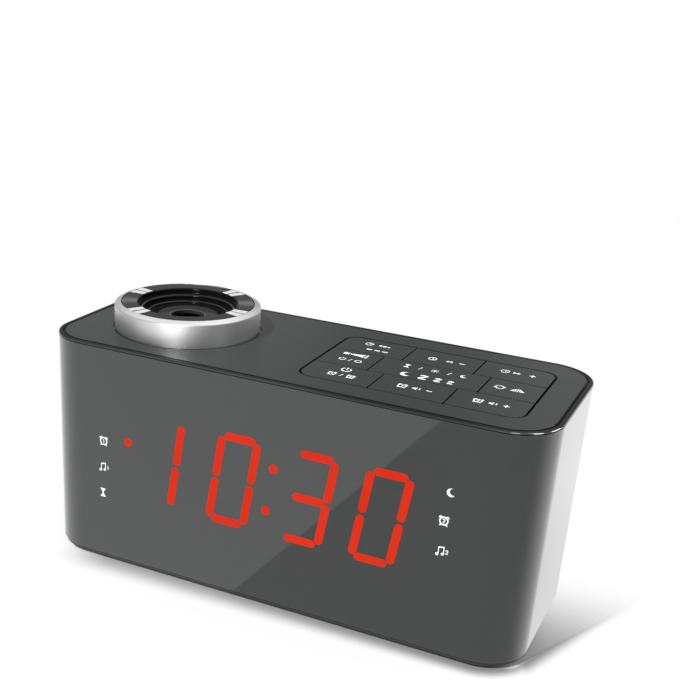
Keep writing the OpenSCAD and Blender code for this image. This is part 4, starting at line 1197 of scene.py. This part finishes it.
# Case screws: four steel screws with flat heads and a cross recess, sunk in the base plate.
# They go up into bosses in the corners of the two shells.
screw_low, screw_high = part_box("case_screws")
head_r = 2.2 * mm
head_t = 1.2 * mm
shank_r = 1.1 * mm
recess_d = 0.7 * mm
cross_half = 1.25 * mm
cross_w = 0.42 * mm
head_round = 0.25 * mm
recess_ease = 0.08 * mm
screw_span = (2 * (screw_high.x - head_r), 2 * (screw_high.y - head_r))


def cross_outline(inset):
    """The cross recess seen from below, moved inwards."""
    reach, waist = cross_half - inset, cross_w / 2 - inset
    arm = [(reach, -waist), (reach, waist), (waist, waist)]
    turns = ((1, 0, 0, 1), (0, -1, 1, 0), (-1, 0, 0, -1), (0, 1, -1, 0))
    return [Vector((a * x + b * y, c * x + d * y)) for a, b, c, d in turns for x, y in arm]


def head_outline(inset, steps=32):
    """The round head, moved inwards."""
    return circle((0, 0), head_r - inset, steps)


face_points, face_faces = panel((head_outline, cross_outline), 0.0, recess_d, recess_ease)
face_points = [(x, -y, screw_low.z + recess_d - z) for x, y, z in face_points]
stem_profile = eased([
    (0, screw_low.z + recess_d, 0), (head_r, screw_low.z + recess_d, 0), (head_r, screw_low.z + head_t, 0),
    (shank_r, screw_low.z + head_t, 0), (shank_r, screw_high.z, head_round), (0, screw_high.z, 0),
])
screws = piece("base_screws", [(face_points, face_faces), lathe(stem_profile, steps=32)], screw_steel)
run_tree(screws, corner_set, {
    "Span X": screw_span[0], "Span Y": screw_span[1], "Turn": pi / 2, "Material": screw_steel,
})
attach(screws, "body")
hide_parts("case_screws")

# Floor: a plain pale sheet that keeps the lamp's short shadow, with painted white over it towards the back so
# that the shadow fades out.
# In gloss it shows as white, with a greyer field on the right that ends in a straight edge.
# A painted shadow lies along the foot of the case at the front and right, and a painted strip beside the
# right front corner widens the shadow of the lamp there.
floor_half = 4.0
floor_lift = 0.06
# Painted white fades the shadow out between these depths.
fade_from = -22.0 * mm
fade_to = 44.0 * mm
# The painted shadow at the foot of the case: where it starts, how far it reaches and how deep it is, from
# left to right, and where it gives way.
painted_shadow_from = (-1.5 * mm, -0.3 * mm)
painted_shadow_reach = (14.0 * mm, 5.5 * mm)
painted_shadow_deep = (0.55, 0.71)
painted_shadow_left = (-84 * mm, -60 * mm)
painted_shadow_turn = (-31 * mm, -25 * mm)
painted_shadow_back = (-10 * mm, 30 * mm)
painted_shadow_beside = (-0.5 * mm, 1.5 * mm)
painted_shadow_inside = 0.1
floor_matt = 0.8
sun_edge = ((86.1 * mm, -25.9 * mm, 0.0), (0.913, -0.408, 0.0), (0.408, 0.913, 0.0))
strip_from = (-1.1 * mm, 0.75 * mm)
strip_from_lean = 0.018
strip_start = (-5 * mm, 3 * mm)
strip_wide = 3.9 * mm
strip_lean = 0.078
strip_soft = 3.0 * mm
strip_deep = 0.71
field_grey = 0.62
field_bright = 1.1
field_near = 0.95
field_reach = 120.0 * mm
field_edge = -14.8 * mm
field_lean = 0.0594
field_soft = 0.5 * mm
field_corner = (("Y", -27.0 * mm), ("X", 80.0 * mm))
field_turn = (radians(-15), radians(32))


def bare_material(name):
    """A material whose tree is still empty."""
    material = bpy.data.materials.new(name)
    material.use_nodes = True
    material.node_tree.nodes.clear()
    return material


def make_floor_white():
    """Pale matt sheet for the eye with a painted shadow at the foot of the case and painted white towards the
    back, and for gloss and glass a white one with its greyer field.
    """
    material = bare_material("floor_white")
    tree = material.node_tree
    reckon, measure, ramp = maths(tree)
    rays = tree.nodes.new("ShaderNodeLightPath").outputs
    point = tree.nodes.new("ShaderNodeTexCoord").outputs["Object"]
    place = wire(tree, "ShaderNodeSeparateXYZ", {0: point}).outputs
    size = measure("ABSOLUTE", point)[0]
    past = measure("SUBTRACT", size, (half_w - corner_r, half_d - corner_r, 0.0))[0]
    clear = measure("LENGTH", measure("MAXIMUM", past)[0])["Value"]
    # Painted shadow along the foot of the case, faded towards the left, kept out of the lamp's shadow, and
    # faded towards the back.
    share = reckon("MULTIPLY", ramp(place["X"], *painted_shadow_left), rays["Is Camera Ray"])
    begin, across, deep = (
        ramp(place["X"], -half_w, half_w, *ends, "LINEAR")
        for ends in (painted_shadow_from, painted_shadow_reach, painted_shadow_deep)
    )
    gone = reckon("DIVIDE", reckon("SUBTRACT", reckon("SUBTRACT", clear, corner_r), begin), across)
    near = reckon("MULTIPLY", ramp(gone, 0.0, 1.0, 1.0, 0.0), reckon("MULTIPLY", deep, share))
    rest = measure("SUBTRACT", point, sun_edge[0])[0]
    off, along = (measure("DOT_PRODUCT", rest, way)["Value"] for way in sun_edge[1:])
    outside = ramp(off, *painted_shadow_beside, painted_shadow_inside, 1.0)
    near = reckon("MULTIPLY", near, ramp(place["Y"], *painted_shadow_turn, 1.0, outside))
    near = reckon("MULTIPLY", near, ramp(place["Y"], *painted_shadow_back, 1.0, 0.0))
    # The painted strip that widens the lamp's shadow beside the right front corner.
    inner = reckon("ADD", off, reckon("MULTIPLY", along, strip_from_lean))
    outer = reckon("ADD", reckon("SUBTRACT", off, strip_wide), reckon("MULTIPLY", along, strip_lean))
    strip = reckon("MULTIPLY", ramp(inner, *strip_from), ramp(outer, -strip_soft, strip_soft, 1.0, 0.0))
    strip = reckon("MULTIPLY", strip, ramp(along, *strip_start, 0.0, strip_deep))
    near = reckon("MAXIMUM", near, reckon("MULTIPLY", strip, rays["Is Camera Ray"]))
    open_share = reckon("SUBTRACT", 1.0, near)
    matt_share = reckon("MULTIPLY", open_share, floor_matt)
    matt = wire(tree, "ShaderNodeBsdfDiffuse", {"Color": matt_share}).outputs[0]
    lift = reckon("MULTIPLY", open_share, floor_lift)
    lift = wire(tree, "ShaderNodeEmission", {"Strength": reckon("MULTIPLY", rays["Is Camera Ray"], lift)})
    lit = wire(tree, "ShaderNodeAddShader", {0: matt, 1: lift.outputs[0]}).outputs[0]
    # Painted white over the floor towards the back, so that the shadow fades out.
    fade = reckon("MULTIPLY", ramp(place["Y"], fade_from, fade_to), rays["Is Camera Ray"])
    white = wire(tree, "ShaderNodeEmission", {"Strength": 1.0}).outputs[0]
    seen = wire(tree, "ShaderNodeMixShader", {0: fade, 1: lit, 2: white}).outputs[0]
    edge = reckon("ADD", place["X"], reckon("MULTIPLY", place["Y"], field_lean))
    beyond = ramp(edge, field_edge - field_soft, field_edge + field_soft)
    turn = reckon("ARCTAN2", *(reckon("SUBTRACT", place[axis], start) for axis, start in field_corner))
    bright = ramp(clear, corner_r, corner_r + field_reach, field_near, field_bright)
    level = ramp(beyond, 0.0, 1.0, 1.0, ramp(turn, *field_turn, field_grey, bright), "LINEAR")
    sheen = wire(tree, "ShaderNodeEmission", {"Strength": level}).outputs[0]
    shine = reckon("MAXIMUM", rays["Is Glossy Ray"], rays["Is Transmission Ray"])
    both = wire(tree, "ShaderNodeMixShader", {0: shine, 1: seen, 2: sheen})
    wire(tree, "ShaderNodeOutputMaterial", {"Surface": both.outputs[0]})
    return material


floor_mesh = bpy.data.meshes.new("floor")
floor_corners = [(x * floor_half, y * floor_half, 0.0) for x, y in ((-1, -1), (1, -1), (1, 1), (-1, 1))]
floor_mesh.from_pydata(floor_corners, [], [(0, 1, 2, 3)])
floor_mesh.materials.append(make_floor_white())
floor = put("floor", floor_mesh)

# Shine cards: white cards behind grids, three small ones at the right front corner and a low one in front.
# Only gloss sees them: they give the rounded rim its streaks at the corner, and the focus ring its highlight.


def shine_card(name, aim, azimuths, elevations, level, distance, beam, steps=6):
    """A card bent round its aim between two azimuths and two elevations, behind a grid, for gloss alone."""
    material = bare_material(name)
    tree = material.node_tree
    aside = wire(tree, "ShaderNodeLayerWeight", {"Blend": 0.5}).outputs["Facing"]
    grid = maths(tree)[2](aside, 0.0, beam, 1.0, 0.0, "LINEAR")
    white = wire(tree, "ShaderNodeEmission", {"Strength": level}).outputs[0]
    clear = tree.nodes.new("ShaderNodeBsdfTransparent").outputs[0]
    both = wire(tree, "ShaderNodeMixShader", {0: grid, 1: clear, 2: white})
    wire(tree, "ShaderNodeOutputMaterial", {"Surface": both.outputs[0]})
    points = []
    for climb in swing(*elevations, steps):
        for turn in swing(*azimuths, steps):
            away = Vector((sin(turn) * cos(climb), -cos(turn) * cos(climb), sin(climb)))
            points.append(Vector(aim) + distance * away)
    wide = steps + 1
    mesh = bpy.data.meshes.new(name)
    mesh.from_pydata(points, [], [
        (k, k + 1, k + 1 + wide, k + wide) for k in range(wide * steps) if (k + 1) % wide
    ])
    mesh.materials.append(material)
    card = put(name, mesh)
    card.visible_camera = False
    card.visible_diffuse = False
    card.visible_transmission = False
    card.visible_shadow = False


right_corner = (83 * mm, -30 * mm, rim_top)
over_ring = (ring_x, 0.0, ring_high.z + 10 * mm)
cards = (
    ("card_front", right_corner, (6, 28), (10, 75), 3.6, 70 * mm, 0.03),
    ("card_side", right_corner, (62, 86), (6, 68), 8.0, 70 * mm, 0.03),
    ("card_back", right_corner, (109, 140), (2, 24), 9.0, 70 * mm, 0.03),
    ("card_ring", over_ring, (5.0, 17.0), (2.0, 7.6), 165.0, 607 * mm, 0.0008),
)
for card in cards:
    shine_card(*card)

# Studio light: a white room that is brighter overhead, and one lamp from the front, upper left.
# The eye sees the room white, and matt surfaces see it dimmer than gloss does.
# A stretch of it on the left is darker.
room_low = 0.451
room_high = 1.1
room_matt = 0.53
room_across = (-0.5, -0.15)
room_climb = (0.4, 0.85)
room_drift = ((0.0, 0.855), (1.0, 1.0), (0.33, 0.9), (0.46, 0.5), (0.74, 0.45), (0.88, 0.9))
lamp_strength = 3.6
lamp_spread = radians(4)
lamp_from = Vector((-27.3, -61.0, 80.0))

world = bpy.data.worlds.new("studio")
bpy.context.scene.world = world
world.use_nodes = True
room = world.node_tree
room.nodes.clear()
rays = room.nodes.new("ShaderNodeLightPath").outputs
way = room.nodes.new("ShaderNodeTexCoord").outputs["Generated"]
heading = wire(room, "ShaderNodeSeparateXYZ", {0: way}).outputs
reckon, _, ramp = maths(room)
drift = wire(room, "ShaderNodeValToRGB", {"Fac": ramp(heading["X"], *room_across, blend="LINEAR")})
drift.color_ramp.interpolation = "EASE"
set_stops(drift, [(place, [grey] * 3) for place, grey in room_drift])
shine = reckon("MAXIMUM", rays["Is Glossy Ray"], rays["Is Transmission Ray"])
share = ramp(shine, 0.0, 1.0, room_matt, 1.0, "LINEAR")
level = reckon("MULTIPLY", ramp(heading["Z"], *room_climb, room_low, room_high), drift.outputs[0])
seen = reckon("MAXIMUM", reckon("MULTIPLY", level, share), rays["Is Camera Ray"])
back_light = wire(room, "ShaderNodeBackground", {"Color": (1.0, 1.0, 1.0, 1.0), "Strength": seen})
wire(room, "ShaderNodeOutputWorld", {"Surface": back_light.outputs[0]})

key_lamp = bpy.data.lights.new("key_lamp", "SUN")
key_lamp.energy = lamp_strength
key_lamp.angle = lamp_spread
key_light = put("key_light", key_lamp)
key_light.rotation_mode = "QUATERNION"
key_light.rotation_quaternion = lamp_from.to_track_quat("Z", "Y")
key_light.visible_glossy = False

# Camera: the photograph's viewpoint, from the front right and above.
# The photograph is a crop, so the middle of the picture lies off the axis of the lens.
eye = Vector((0.13898, -0.33414, 0.19928))
azimuth = radians(25.453)
elevation = radians(24.462)
roll = radians(2.783)
sensor = 36.0
focal_px = 1129.3
image_px = 680.0
middle_px = Vector((257.41, 473.01))
near_clip = 0.01

right = Vector((cos(azimuth), sin(azimuth), 0))
back = Vector((sin(azimuth) * cos(elevation), -cos(azimuth) * cos(elevation), sin(elevation)))
up = back.cross(right)
right, up = cos(roll) * right + sin(roll) * up, cos(roll) * up - sin(roll) * right
view = bpy.data.cameras.new("view")
view.sensor_width = sensor
view.lens = sensor * focal_px / image_px
view.shift_x = 0.5 - middle_px.x / image_px
view.shift_y = middle_px.y / image_px - 0.5
view.clip_start = near_clip
camera = put("camera", view)
camera.matrix_world = Matrix.Translation(eye) @ Matrix((right, up, back)).transposed().to_4x4()
bpy.context.scene.camera = camera
bpy.context.scene.view_settings.view_transform = "Standard"
